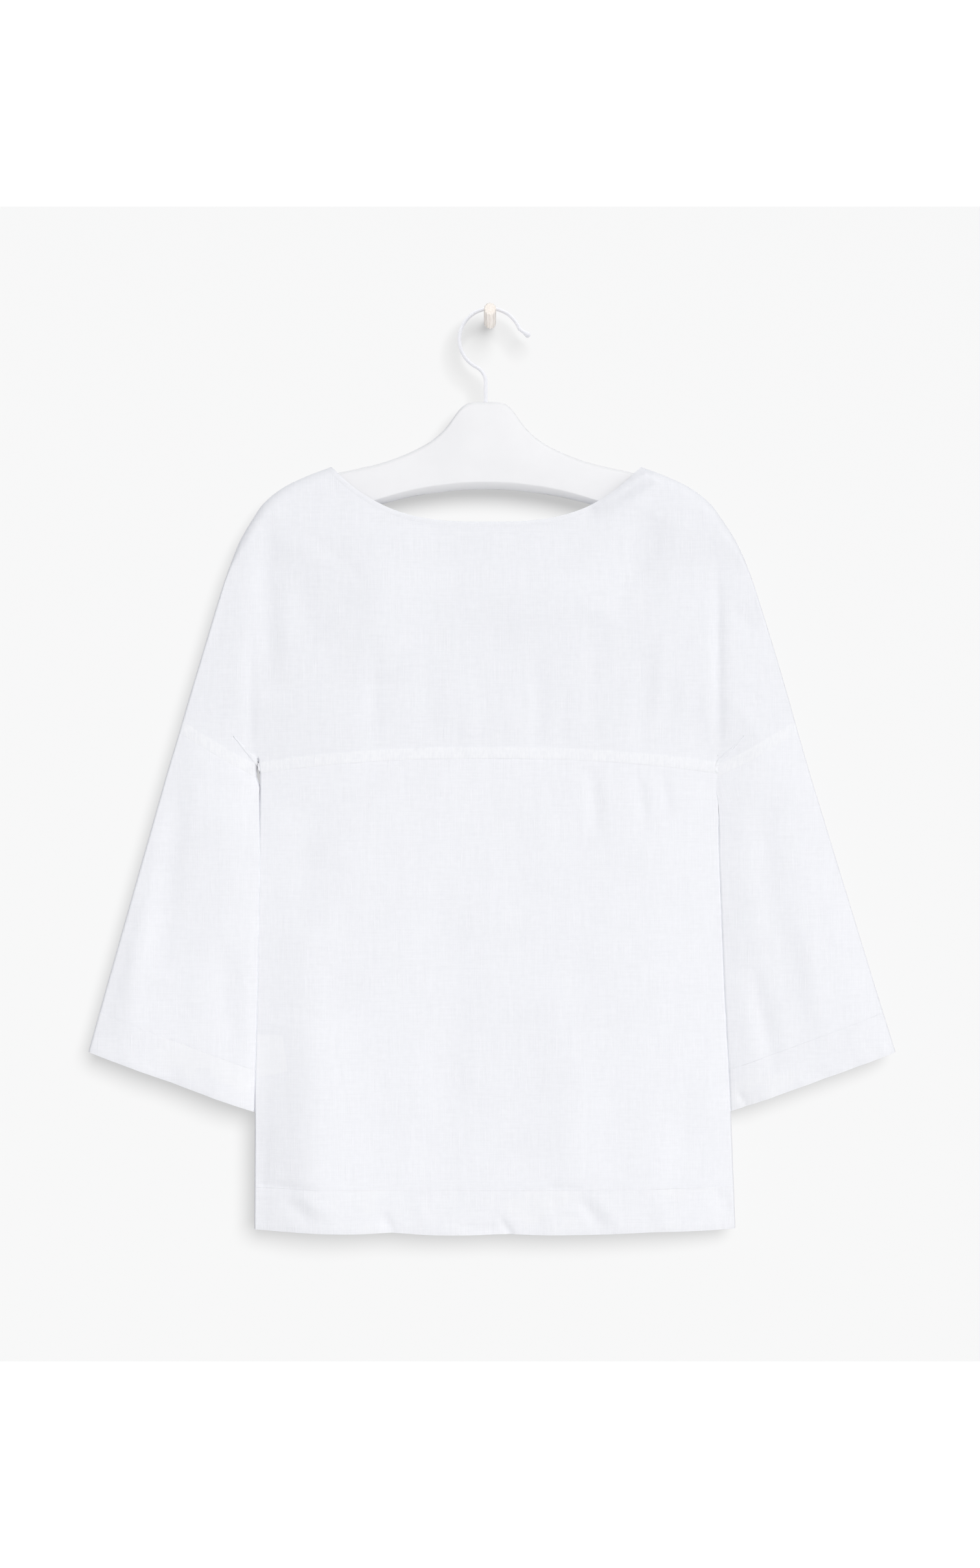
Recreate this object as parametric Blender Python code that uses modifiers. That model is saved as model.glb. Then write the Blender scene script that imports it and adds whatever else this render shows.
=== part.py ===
# Linen blouse on a moulded hanger, hanging from a wooden wall peg.
# Metres, +Z up. The origin is the centre of the peg's wall end, and the peg runs along -Y.
# The back of the blouse faces -Y. Sizes below are in millimetres and are scaled by MM.
import math
from collections import namedtuple

import bmesh
import bpy
from mathutils import Vector

MM = 0.001

# The garment and the hanger share one upright plane in front of the wall.
PLANE_Y = -26.0
NEAR = -1.0
FAR = 1.0

# Cloth thicknesses, and the gap left at every seam.
CLOTH = 1.2
HEM_CLOTH = 2.2
BINDING_CLOTH = 2.0
SEAM_GAP = 0.35
PROUD = 0.3

# How far in from its edge a panel turns over to its full depth.
FOLD_RADIUS = 12.0
FOLD_END_POWER = 0.7

# Neck opening: half width at the shoulder, and the lowest points of the back and the front.
NECK_TOP_Z = -146.2
NECK_HALF_WIDTH = 150.6
BACK_NECK_Z = -200.5
FRONT_NECK_Z = -283.0
BACK_NECK_POWER = 3.0
FRONT_NECK_POWER = 2.3
BINDING_WIDTH = 5.0

# Underarm point, yoke seam, hems and sleeves.
UNDERARM_X = 224.0
YOKE_MID_Z = -429.7
YOKE_BOW = 14.5
YOKE_POWER = 2.3
HEM_TOP_Z = -844.3
HEM_TOP_SAG = 2.0
HEM_Z = -885.2
HEM_SAG = 4.8
CUFF_DEPTH = 40.0
CUFF_OUTER = (391.8, -713.9)
CUFF_INNER_Z = -771.8
LEFT_CUFF_INNER_X = 240.0
RIGHT_CUFF_INNER_X = 232.8

Edge = namedtuple("Edge", "z half_width")

# Shoulder line, from the neck corner round to the outer end of the sleeve seam.
SHOULDER = (
    Edge(-146.2, 150.6),
    Edge(-153.4, 170.0),
    Edge(-161.4, 188.4),
    Edge(-168.6, 201.0),
    Edge(-177.1, 212.0),
    Edge(-184.6, 219.4),
    Edge(-192.9, 225.2),
    Edge(-208.6, 235.3),
    Edge(-224.4, 243.8),
    Edge(-255.9, 256.1),
    Edge(-303.1, 270.9),
    Edge(-350.0, 285.2),
    Edge(-404.0, 300.5),
)

# Side seams of the body.
SIDE = (
    Edge(-444.2, 223.3),
    Edge(-483.9, 222.6),
    Edge(-649.6, 227.0),
    Edge(-740.3, 230.4),
    Edge(-800.8, 231.8),
    Edge(-895.0, 233.8),
)

# The garment hangs a little askew: how far its centre line stands to the right.
Sway = namedtuple("Sway", "z right")
SWAY = (
    Sway(-161.0, -3.6),
    Sway(-193.0, -2.8),
    Sway(-240.0, -1.4),
    Sway(-335.0, -1.0),
    Sway(-446.0, -1.6),
    Sway(-650.0, 0.8),
    Sway(-895.0, 5.0),
)

Depth = namedtuple("Depth", "z half_depth")

# How far the body cloth stands from the garment's middle plane.
BODY_DEPTH = (
    Depth(-900.0, 16.6),
    Depth(-650.0, 16.0),
    Depth(-446.0, 15.0),
    Depth(-300.0, 13.0),
    Depth(-200.0, 10.6),
    Depth(-146.0, 9.6),
)
SLEEVE_DEPTH = 10.0
CUFF_DEPTH_GAIN = 2.2
SLEEVE_BLEND = 70.0

Fold = namedtuple("Fold", "x_top z_top x_bottom z_bottom half_width height")

# Largest folds of the photographed back, ridges above zero and valleys below.
NEAR_FOLDS = (
    Fold(219.0, -238.0, 220.0, -410.0, 7.0, 2.0),
    Fold(226.0, -290.0, 227.0, -452.0, 6.0, -2.0),
    Fold(-224.0, -246.0, -225.0, -412.0, 8.0, 1.8),
    Fold(-233.0, -296.0, -231.0, -450.0, 6.0, -1.6),
    Fold(193.0, -178.0, 142.0, -262.0, 10.0, -1.9),
    Fold(166.0, -186.0, 112.0, -246.0, 11.0, 1.4),
    Fold(-194.0, -216.0, -199.0, -290.0, 14.0, -1.5),
    Fold(-113.0, -290.0, -112.0, -420.0, 9.0, 1.2),
    Fold(57.0, -300.0, 54.0, -420.0, 9.0, 1.0),
    Fold(88.0, -290.0, 90.0, -412.0, 10.0, -1.1),
    Fold(182.0, -310.0, 180.0, -425.0, 10.0, 1.1),
    Fold(152.0, -446.0, 146.0, -540.0, 8.0, -1.1),
    Fold(-154.0, -600.0, -155.0, -835.0, 13.0, 2.0),
    Fold(-204.0, -700.0, -206.0, -870.0, 16.0, -2.0),
    Fold(64.0, -640.0, 82.0, -880.0, 22.0, 1.4),
    Fold(-36.0, -560.0, -46.0, -860.0, 24.0, -1.2),
    Fold(-287.0, -455.0, -288.0, -580.0, 9.0, -1.6),
    Fold(-308.0, -600.0, -312.0, -676.0, 10.0, -1.5),
    Fold(-258.0, -640.0, -249.0, -730.0, 11.0, -1.8),
    Fold(250.0, -610.0, 272.0, -735.0, 10.0, -1.8),
    Fold(292.0, -560.0, 318.0, -700.0, 13.0, 1.5),
)

# Folds of the hidden front, guessed from how the same cloth falls on the back.
FAR_FOLDS = (
    Fold(-214.0, -230.0, -218.0, -420.0, 9.0, 1.8),
    Fold(217.0, -236.0, 219.0, -420.0, 8.0, 1.7),
    Fold(-150.0, -230.0, -70.0, -380.0, 14.0, 1.6),
    Fold(146.0, -236.0, 62.0, -372.0, 13.0, 1.5),
    Fold(-96.0, -420.0, -104.0, -700.0, 18.0, 1.6),
    Fold(-40.0, -520.0, -52.0, -850.0, 22.0, -1.6),
    Fold(98.0, -500.0, 112.0, -860.0, 20.0, 1.7),
    Fold(176.0, -560.0, 182.0, -850.0, 15.0, -1.5),
    Fold(-178.0, -620.0, -186.0, -860.0, 14.0, 1.7),
    Fold(-292.0, -470.0, -318.0, -660.0, 12.0, 1.5),
    Fold(288.0, -480.0, 312.0, -690.0, 12.0, -1.6),
)

# Where the hem dips and lifts along its length.
Wave = namedtuple("Wave", "x half_width height")
HEM_WAVES = (
    Wave(-99.0, 24.0, 2.0),
    Wave(11.0, 26.0, 1.6),
    Wave(150.0, 34.0, 1.0),
)

# Hanger, as upright sections along its length.
HANGER_X = -4.2
HANGER_PLATE_Z = -83.2
HANGER_TOP_ROUND = 4.8
Turn = namedtuple("Turn", "out down")
HANGER_TOP_CURVE = (Turn(0.0, 0.0), Turn(0.6, 0.38), Turn(0.9, 0.7), Turn(1.0, 1.0))
HANGER_UNDERSIDE = 0.4
Section = namedtuple("Section", "x top bottom half_thickness underside")
HANGER = (
    Section(0.0, -83.2, -161.1, 6.0, 6.7),
    Section(14.0, -83.2, -161.3, 6.0, 6.7),
    Section(19.6, -84.0, -161.5, 6.0, 6.7),
    Section(23.2, -86.0, -161.7, 6.0, 6.7),
    Section(26.0, -89.4, -161.9, 6.0, 6.7),
    Section(31.5, -98.0, -162.5, 6.0, 6.7),
    Section(37.0, -106.0, -163.2, 6.0, 6.6),
    Section(45.0, -114.6, -164.3, 6.0, 6.6),
    Section(57.0, -123.6, -166.0, 6.0, 6.4),
    Section(75.3, -132.9, -169.7, 6.0, 6.0),
    Section(92.0, -139.3, -174.2, 6.0, 5.6),
    Section(109.0, -144.4, -179.3, 6.0, 5.0),
    Section(144.0, -152.2, -188.6, 5.8, 4.4),
    Section(172.0, -158.2, -196.0, 5.6, 4.0),
    Section(184.0, -161.6, -199.0, 5.5, 3.8),
    Section(192.0, -165.7, -200.5, 5.4, 3.6),
    Section(201.0, -171.6, -201.5, 5.0, 3.0),
    Section(205.5, -178.5, -197.5, 3.6, 1.6),
)

# Wire hook: a round crook, a short bend back and a straight shank above the plate.
WIRE_RADIUS = 1.8
CROOK_RADIUS = 30.0
CROOK_X = 0.3
CROOK_START = 17.0
CROOK_END = 243.0
CROOK_STEPS = 26
BEND_STEPS = 6
FLICK_X = 34.6
FLICK_Z = -17.2
TIP_RADIUS = 2.9
CONTACT_GAP = 0.3

# Wooden peg.
PEG_RADIUS = 5.9
PEG_FLUTE = 0.45
PEG_LENGTH = 60.0
PEG_ROUND = 1.6
PEG_SIDES = 24

# Blank care label inside the side seam.
LABEL_WIDTH = 28.0
LABEL_HEIGHT = 40.0
LABEL_CLOTH = 0.8
LABEL_Z = -717.5
LABEL_LEAN = 5.0

# Grid sizes.
NECK_COLUMNS = 9
SHOULDER_COLUMNS = len(SHOULDER) - 1
HALF_COLUMNS = NECK_COLUMNS + SHOULDER_COLUMNS
NECK_FOOT_X = 96.0
NECK_SHARE = NECK_FOOT_X / UNDERARM_X
SEAM_COLUMNS = 5
YOKE_ROWS = 11
BODY_ROWS = 13
HEM_ROWS = 2
SLEEVE_AROUND = 24
SLEEVE_ROWS = 11
BINDING_AROUND = 4 * NECK_COLUMNS

LABEL_COLUMNS = 4
LABEL_ROWS = 3

# Distances below the shoulder line of the first rows, which follow its rounded fold.
TOP_STEPS = (0.0, 1.2, 3.8, 7.8, 13.0)


def mix(a, b, t):
    return a + (b - a) * t


def ease(t):
    t = min(max(t, 0.0), 1.0)
    return t * t * (3.0 - 2.0 * t)


def look_up(rows, z):
    # Rows are ordered by z, either way; the second column is read in between them.
    ordered = sorted((row[0], row[1]) for row in rows)
    if z <= ordered[0][0]:
        return ordered[0][1]
    for (z0, value0), (z1, value1) in zip(ordered, ordered[1:]):
        if z <= z1:
            return mix(value0, value1, (z - z0) / (z1 - z0))
    return ordered[-1][1]


def line_distance(x, z, points):
    best = float("inf")
    for (x0, z0), (x1, z1) in zip(points, points[1:]):
        run, rise = x1 - x0, z1 - z0
        t = ((x - x0) * run + (z - z0) * rise) / (run * run + rise * rise)
        t = min(max(t, 0.0), 1.0)
        best = min(best, math.hypot(x - x0 - run * t, z - z0 - rise * t))
    return best


SHOULDER_LINE = [(row.half_width, row.z) for row in SHOULDER] + [CUFF_OUTER]
SIDE_LINE = [(UNDERARM_X, YOKE_MID_Z - YOKE_BOW)] + [(row.half_width, row.z) for row in SIDE]
SEAM_OUTER = SHOULDER_LINE[-2]
SEAM_INNER = SIDE_LINE[0]


def sway(z):
    return look_up(SWAY, z)


def rounded(distance):
    # Share of its full depth that the cloth has reached this far in from its edge.
    share = min(distance / FOLD_RADIUS, 1.0)
    return math.sqrt(1.0 - (1.0 - share) ** 2)


def relief(folds, x, z):
    total = 0.0
    for fold in folds:
        run, rise = fold.x_bottom - fold.x_top, fold.z_bottom - fold.z_top
        length = math.hypot(run, rise)
        t = ((x - fold.x_top) * run + (z - fold.z_top) * rise) / length ** 2
        if t < 0.0 or t > 1.0:
            continue
        off = ((x - fold.x_top) * rise - (z - fold.z_top) * run) / length
        ends = math.sin(math.pi * t) ** FOLD_END_POWER
        total += fold.height * ends * math.exp(-(off / fold.half_width) ** 2)
    return total


def folds_of(side):
    return NEAR_FOLDS if side == NEAR else FAR_FOLDS


def panel_depth(side, x, z):
    # Distance of a body or yoke panel from the middle plane.
    across = abs(x)
    edge = min(line_distance(across, z, SHOULDER_LINE), line_distance(across, z, SIDE_LINE))
    full = look_up(BODY_DEPTH, z)
    if z > SEAM_INNER[1]:
        away = line_distance(across, z, [SEAM_OUTER, SEAM_INNER])
        full = mix(SLEEVE_DEPTH, full, ease(away / SLEEVE_BLEND))
    return rounded(edge) * (full + relief(folds_of(side), x + sway(z), z))


def spot(side, x, z, depth):
    return Vector(((x + sway(z)) * MM, (PLANE_Y + side * depth) * MM, z * MM))


def neck_point(across, lowest, power, inset):
    # Neck curve, moved out into the cloth by the inset.
    half_width = NECK_HALF_WIDTH + inset
    first, second = SHOULDER[:2]
    slope = (first.z - second.z) / (second.half_width - first.half_width)
    top = NECK_TOP_Z - slope * inset
    bottom = lowest - inset
    return half_width * across, mix(bottom, top, abs(across) ** power)


def spread(step, count):
    # Columns crowd together towards an outer edge, where the cloth turns over.
    return math.sin(0.5 * math.pi * step / count)


def column_top(step, lowest, power):
    if step <= NECK_COLUMNS:
        inset = BINDING_WIDTH + SEAM_GAP
        return neck_point(spread(step, NECK_COLUMNS), lowest, power, inset)
    row = SHOULDER[step - NECK_COLUMNS]
    return row.half_width, row.z


def column_share(step):
    # Where a column meets the yoke seam, as a share of the half width.
    if step <= NECK_COLUMNS:
        return NECK_SHARE * step / NECK_COLUMNS
    return mix(NECK_SHARE, 1.0, spread(step - NECK_COLUMNS, SHOULDER_COLUMNS))


def yoke_seam(share):
    return YOKE_MID_Z - YOKE_BOW * abs(share) ** YOKE_POWER


def row_place(row, rows, length, seam_side):
    # Share of the way down a column: crowded at the shoulder, and at the underarm too.
    if row < len(TOP_STEPS):
        down = TOP_STEPS[row] / length
    else:
        start = TOP_STEPS[-1] / length
        down = mix(start, 1.0, (row - len(TOP_STEPS) + 1) / (rows - len(TOP_STEPS) + 1))
    both = 0.5 - 0.5 * math.cos(math.pi * row / rows)
    return mix(down, both, seam_side)


def yoke_place(step, row, rows, lowest, power, gap):
    top_x, top_z = column_top(step, lowest, power)
    share = column_share(step)
    low_x, low_z = UNDERARM_X * share, yoke_seam(share) + gap
    seam_side = ease((step - HALF_COLUMNS + SEAM_COLUMNS) / SEAM_COLUMNS)
    down = row_place(row, rows, math.hypot(top_x - low_x, top_z - low_z), seam_side)
    return mix(top_x, low_x, down), mix(top_z, low_z, down)


def body_place(share, top_z, bottom_z, down):
    z = mix(top_z, bottom_z, down)
    return share * look_up(SIDE, z), z


def hem_top(share):
    return HEM_TOP_Z - HEM_TOP_SAG * (1.0 - share ** 2)


def hem_bottom(share, x):
    lift = sum(w.height * math.exp(-((x - w.x) / w.half_width) ** 2) for w in HEM_WAVES)
    return HEM_Z - HEM_SAG * (1.0 - share ** 2) + lift


def material(name, colour, roughness, metallic=0.0):
    made = bpy.data.materials.new(name)
    made.use_nodes = True
    shader = made.node_tree.nodes["Principled BSDF"]
    shader.inputs["Base Color"].default_value = (*colour, 1.0)
    shader.inputs["Roughness"].default_value = roughness
    shader.inputs["Metallic"].default_value = metallic
    return made


def add_object(name, bm, surface):
    mesh = bpy.data.meshes.new(name)
    bm.to_mesh(mesh)
    bm.free()
    mesh.materials.append(surface)
    made = bpy.data.objects.new(name, mesh)
    COLLECTION.objects.link(made)
    return made


def keep_to_side(made, side):
    # The two panels meet at the middle plane and neither one crosses it.
    limit = 0.5 * SEAM_GAP * MM
    for vertex in made.data.vertices:
        away = (vertex.co.y - PLANE_Y * MM) * side
        if away < limit:
            vertex.co.y = PLANE_Y * MM + side * limit


def thicken(made, thickness):
    shell = made.modifiers.new("Thickness", "SOLIDIFY")
    shell.thickness = thickness * MM
    shell.offset = -1.0
    shell.use_rim = True
    shell.use_quality_normals = True
    depsgraph = bpy.context.evaluated_depsgraph_get()
    solid = bpy.data.meshes.new_from_object(made.evaluated_get(depsgraph))
    made.modifiers.clear()
    flat = made.data
    made.data = solid
    bpy.data.meshes.remove(flat)
    solid.name = made.name


def grid_object(name, columns, rows, place, surface, joined=False):
    # A grid laid out by place(column, row); row 0 is the top row.
    bm = bmesh.new()
    bmesh.ops.create_grid(bm, x_segments=columns, y_segments=rows, size=1.0)
    for vertex in bm.verts:
        column = round((vertex.co.x + 1.0) * 0.5 * columns)
        row = round((1.0 - vertex.co.y) * 0.5 * rows)
        vertex.co = place(column, row)
    if joined:
        bmesh.ops.remove_doubles(bm, verts=bm.verts, dist=0.01 * MM)
    return add_object(name, bm, surface)


def panel(name, side, rows, outline, thickness, surface, proud=0.0):
    # outline(step, row) gives the right-hand half; the left-hand half mirrors it.
    def place(column, row):
        step = column - HALF_COLUMNS
        x, z = outline(abs(step), row)
        x = math.copysign(x, -step * side)
        depth = panel_depth(side, x, z)
        return spot(side, x, z, max(depth + proud, 0.5 * SEAM_GAP))

    made = grid_object(name, 2 * HALF_COLUMNS, rows, place, surface)
    thicken(made, thickness)
    keep_to_side(made, side)
    return made


def sleeve_corners(hand, along):
    # Outer and inner edge of a sleeve, from the seam at 0 to the cuff's end at 1.
    run, rise = SEAM_OUTER[0] - SEAM_INNER[0], SEAM_OUTER[1] - SEAM_INNER[1]
    length = math.hypot(run, rise)
    gap_x, gap_z = SEAM_GAP * rise / length, -SEAM_GAP * run / length
    outer = (mix(SEAM_OUTER[0] + gap_x, CUFF_OUTER[0], along),
             mix(SEAM_OUTER[1] + gap_z, CUFF_OUTER[1], along))
    inner_x = LEFT_CUFF_INNER_X if hand < 0 else RIGHT_CUFF_INNER_X
    inner = (mix(SEAM_INNER[0] + gap_x + SEAM_GAP, inner_x, along),
             mix(SEAM_INNER[1] + gap_z, CUFF_INNER_Z, along))
    return outer, inner


def sleeve_tube(name, hand, start, end, rows, thickness, surface, proud=0.0):
    half = SLEEVE_AROUND // 2

    def place(column, row):
        along = mix(start, end, row / rows)
        outer, inner = sleeve_corners(hand, along)
        side = NEAR if column <= half else FAR
        step = column if column <= half else SLEEVE_AROUND - column
        across = 0.5 - 0.5 * math.cos(math.pi * step / half)
        left, right = (outer, inner) if hand < 0 else (inner, outer)
        x, z = mix(left[0], right[0], across), mix(left[1], right[1], across)
        width = math.hypot(outer[0] - inner[0], outer[1] - inner[1])
        edge = min(across, 1.0 - across) * width
        full = SLEEVE_DEPTH + CUFF_DEPTH_GAIN * along + proud
        depth = rounded(edge) * (full + relief(folds_of(side), hand * x + sway(z), z))
        return spot(side, hand * x, z, depth)

    made = grid_object(name, SLEEVE_AROUND, rows, place, surface, joined=True)
    thicken(made, thickness)
    return made


def neck_ring(name, surface):
    half = BINDING_AROUND // 2

    def place(column, row):
        side = NEAR if column <= half else FAR
        step = column if column <= half else BINDING_AROUND - column
        across = spread(step - NECK_COLUMNS, NECK_COLUMNS)
        lowest, power = (
            (BACK_NECK_Z, BACK_NECK_POWER) if side == NEAR else (FRONT_NECK_Z, FRONT_NECK_POWER)
        )
        x, z = neck_point(across, lowest, power, BINDING_WIDTH * row / HEM_ROWS)
        depth = panel_depth(side, x, z)
        swell = PROUD * rounded(line_distance(abs(x), z, SHOULDER_LINE))
        return spot(side, x, z, depth + swell)

    made = grid_object(name, BINDING_AROUND, HEM_ROWS, place, surface, joined=True)
    thicken(made, BINDING_CLOTH)
    return made


def ring_solid(name, sides, rings, place, surface):
    # A closed solid from rings of points; both ends are filled.
    bm = bmesh.new()
    bmesh.ops.create_grid(bm, x_segments=sides, y_segments=rings - 1, size=1.0)
    for vertex in bm.verts:
        column = round((vertex.co.x + 1.0) * 0.5 * sides) % sides
        row = round((1.0 - vertex.co.y) * 0.5 * (rings - 1))
        vertex.co = place(column, row)
    bmesh.ops.remove_doubles(bm, verts=bm.verts, dist=0.01 * MM)
    bmesh.ops.holes_fill(bm, edges=[e for e in bm.edges if e.is_boundary], sides=sides)
    bmesh.ops.recalc_face_normals(bm, faces=bm.faces)
    return add_object(name, bm, surface)


def make_hanger(surface):
    sections = [row._replace(x=-row.x) for row in reversed(HANGER[1:])] + list(HANGER)

    def place(column, row):
        s = sections[row]
        h, c = s.half_thickness, HANGER_TOP_ROUND
        half = [(out * h, s.top - down * c) for out, down in HANGER_TOP_CURVE]
        half += [(h, s.bottom), (HANGER_UNDERSIDE * h, s.bottom - s.underside)]
        ring = half + [(-y, z) for y, z in reversed(half[1:])]
        y, z = ring[column]
        return Vector(((HANGER_X + s.x) * MM, (PLANE_Y + y) * MM, z * MM))

    sides = 2 * len(HANGER_TOP_CURVE) + 3
    return ring_solid("hanger_body", sides, len(sections), place, surface)


def hook_path():
    top_z = PEG_RADIUS + CONTACT_GAP + WIRE_RADIUS
    centre = Vector((CROOK_X, 0.0, top_z - CROOK_RADIUS))
    points = [Vector((FLICK_X, 0.0, FLICK_Z))]
    for step in range(CROOK_STEPS + 1):
        angle = math.radians(mix(CROOK_START, CROOK_END, step / CROOK_STEPS))
        reach = Vector((math.cos(angle), 0.0, math.sin(angle)))
        points.append(centre + CROOK_RADIUS * reach)
    # The bend back turns the wire from the crook's tangent to straight down.
    leave = math.radians(CROOK_END)
    bend = (HANGER_X - points[-1].x) / (1.0 + math.cos(leave))
    pivot = points[-1] + bend * Vector((math.cos(leave), 0.0, math.sin(leave)))
    for step in range(1, BEND_STEPS + 1):
        angle = mix(leave - math.pi, 0.0, step / BEND_STEPS)
        points.append(pivot + bend * Vector((math.cos(angle), 0.0, math.sin(angle))))
    points.append(Vector((HANGER_X, 0.0, HANGER_PLATE_Z + CONTACT_GAP)))
    return points


def make_hook(surface):
    points = hook_path()
    curve = bpy.data.curves.new("hanger_hook", "CURVE")
    curve.dimensions = "3D"
    curve.bevel_depth = WIRE_RADIUS * MM
    curve.bevel_resolution = 2
    curve.use_fill_caps = True
    line = curve.splines.new("POLY")
    line.points.add(len(points) - 1)
    for knot, point in zip(line.points, points):
        knot.co = (point.x * MM, PLANE_Y * MM, point.z * MM, 1.0)
    shape = bpy.data.objects.new("hanger_hook_line", curve)
    COLLECTION.objects.link(shape)
    depsgraph = bpy.context.evaluated_depsgraph_get()
    mesh = bpy.data.meshes.new_from_object(shape.evaluated_get(depsgraph))
    bpy.data.objects.remove(shape, do_unlink=True)
    bm = bmesh.new()
    bm.from_mesh(mesh)
    bpy.data.meshes.remove(mesh)
    bmesh.ops.remove_doubles(bm, verts=bm.verts, dist=0.01 * MM)
    bmesh.ops.recalc_face_normals(bm, faces=bm.faces)
    return add_object("hanger_hook", bm, surface)


def make_tip(surface):
    bm = bmesh.new()
    bmesh.ops.create_uvsphere(bm, u_segments=12, v_segments=8, radius=TIP_RADIUS * MM)
    end, before = hook_path()[:2]
    centre = end + (end - before).normalized() * (TIP_RADIUS + CONTACT_GAP)
    bmesh.ops.translate(bm, verts=bm.verts, vec=(centre.x * MM, PLANE_Y * MM, centre.z * MM))
    return add_object("hanger_hook_tip", bm, surface)


def make_peg(surface):
    # Rows are the wall end, then the rounded free end.
    turns = (None, Turn(0.0, 1.0), Turn(0.35, 0.3), Turn(1.0, 0.0))

    def place(column, row):
        turn = turns[row]
        out = PEG_LENGTH - turn.down * PEG_ROUND if turn else 0.0
        inset = turn.out * PEG_ROUND if turn else 0.0
        angle = 2.0 * math.pi * column / PEG_SIDES
        radius = PEG_RADIUS - (PEG_FLUTE if column % 2 else 0.0) - inset
        return Vector((radius * math.sin(angle) * MM, -out * MM, radius * math.cos(angle) * MM))

    return ring_solid("wall_peg", PEG_SIDES, len(turns), place, surface)


def make_label(surface):
    # The label is caught at the side seam and leans towards the back at its free edge.
    def place(column, row):
        across = column / LABEL_COLUMNS
        z = LABEL_Z + (0.5 - row / LABEL_ROWS) * LABEL_HEIGHT
        x = CLOTH + CONTACT_GAP + across * LABEL_WIDTH - look_up(SIDE, z)
        return spot(NEAR, x, z, 0.5 * LABEL_CLOTH + LABEL_LEAN * across ** 2)

    made = grid_object("care_label", LABEL_COLUMNS, LABEL_ROWS, place, surface)
    thicken(made, LABEL_CLOTH)
    return made


for old in list(bpy.data.objects):
    bpy.data.objects.remove(old, do_unlink=True)

COLLECTION = bpy.data.collections.new("linen_blouse")
bpy.context.scene.collection.children.link(COLLECTION)

linen = material("white_linen", (0.89, 0.90, 0.92), 0.9)
linen_doubled = material("white_linen_doubled", (0.91, 0.92, 0.94), 0.9)
linen_edge = material("white_linen_edge", (0.90, 0.91, 0.93), 0.9)
label_cloth = material("label_cloth", (0.86, 0.86, 0.86), 0.8)
plastic = material("white_plastic", (0.90, 0.90, 0.91), 0.45)
wire = material("white_painted_wire", (0.83, 0.83, 0.85), 0.35)
tip_plastic = material("hook_tip_plastic", (0.86, 0.86, 0.88), 0.4)
wood = material("pale_wood", (0.80, 0.76, 0.70), 0.7)


def back_yoke_outline(step, row):
    return yoke_place(step, row, YOKE_ROWS, BACK_NECK_Z, BACK_NECK_POWER, 0.5 * SEAM_GAP)


def back_panel_outline(step, row):
    share = column_share(step)
    top = yoke_seam(share) - 0.5 * SEAM_GAP
    bottom = hem_top(share) + 0.5 * SEAM_GAP
    return body_place(share, top, bottom, row / BODY_ROWS)


def front_panel_outline(step, row):
    if row <= YOKE_ROWS:
        return yoke_place(step, row, YOKE_ROWS, FRONT_NECK_Z, FRONT_NECK_POWER, 0.0)
    share = column_share(step)
    bottom = hem_top(share) + 0.5 * SEAM_GAP
    return body_place(share, yoke_seam(share), bottom, (row - YOKE_ROWS) / BODY_ROWS)


def hem_outline(step, row):
    share = column_share(step)
    top = hem_top(share) - 0.5 * SEAM_GAP
    bottom = hem_bottom(share, share * UNDERARM_X)
    return body_place(share, top, bottom, row / HEM_ROWS)


panel("back_yoke", NEAR, YOKE_ROWS, back_yoke_outline, CLOTH, linen)
panel("back_panel", NEAR, BODY_ROWS, back_panel_outline, CLOTH, linen)
panel("back_hem", NEAR, HEM_ROWS, hem_outline, HEM_CLOTH, linen_doubled, PROUD)
panel("front_panel", FAR, YOKE_ROWS + BODY_ROWS, front_panel_outline, CLOTH, linen)
panel("front_hem", FAR, HEM_ROWS, hem_outline, HEM_CLOTH, linen_doubled, PROUD)

sleeve_length = math.hypot(CUFF_OUTER[0] - SEAM_OUTER[0], CUFF_OUTER[1] - SEAM_OUTER[1])
cuff_start = 1.0 - CUFF_DEPTH / sleeve_length
half_gap = 0.5 * SEAM_GAP / sleeve_length
for side_name, hand in (("left", -1.0), ("right", 1.0)):
    sleeve_tube(f"{side_name}_sleeve", hand, 0.0, cuff_start - half_gap, SLEEVE_ROWS, CLOTH, linen)
    sleeve_tube(f"{side_name}_cuff", hand, cuff_start + half_gap, 1.0, HEM_ROWS, HEM_CLOTH,
                linen_doubled, PROUD)

neck_ring("neck_binding", linen_edge)
make_label(label_cloth)
make_hanger(plastic)
make_hook(wire)
make_tip(tip_plastic)
make_peg(wood)
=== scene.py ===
import math
from collections import namedtuple

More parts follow.
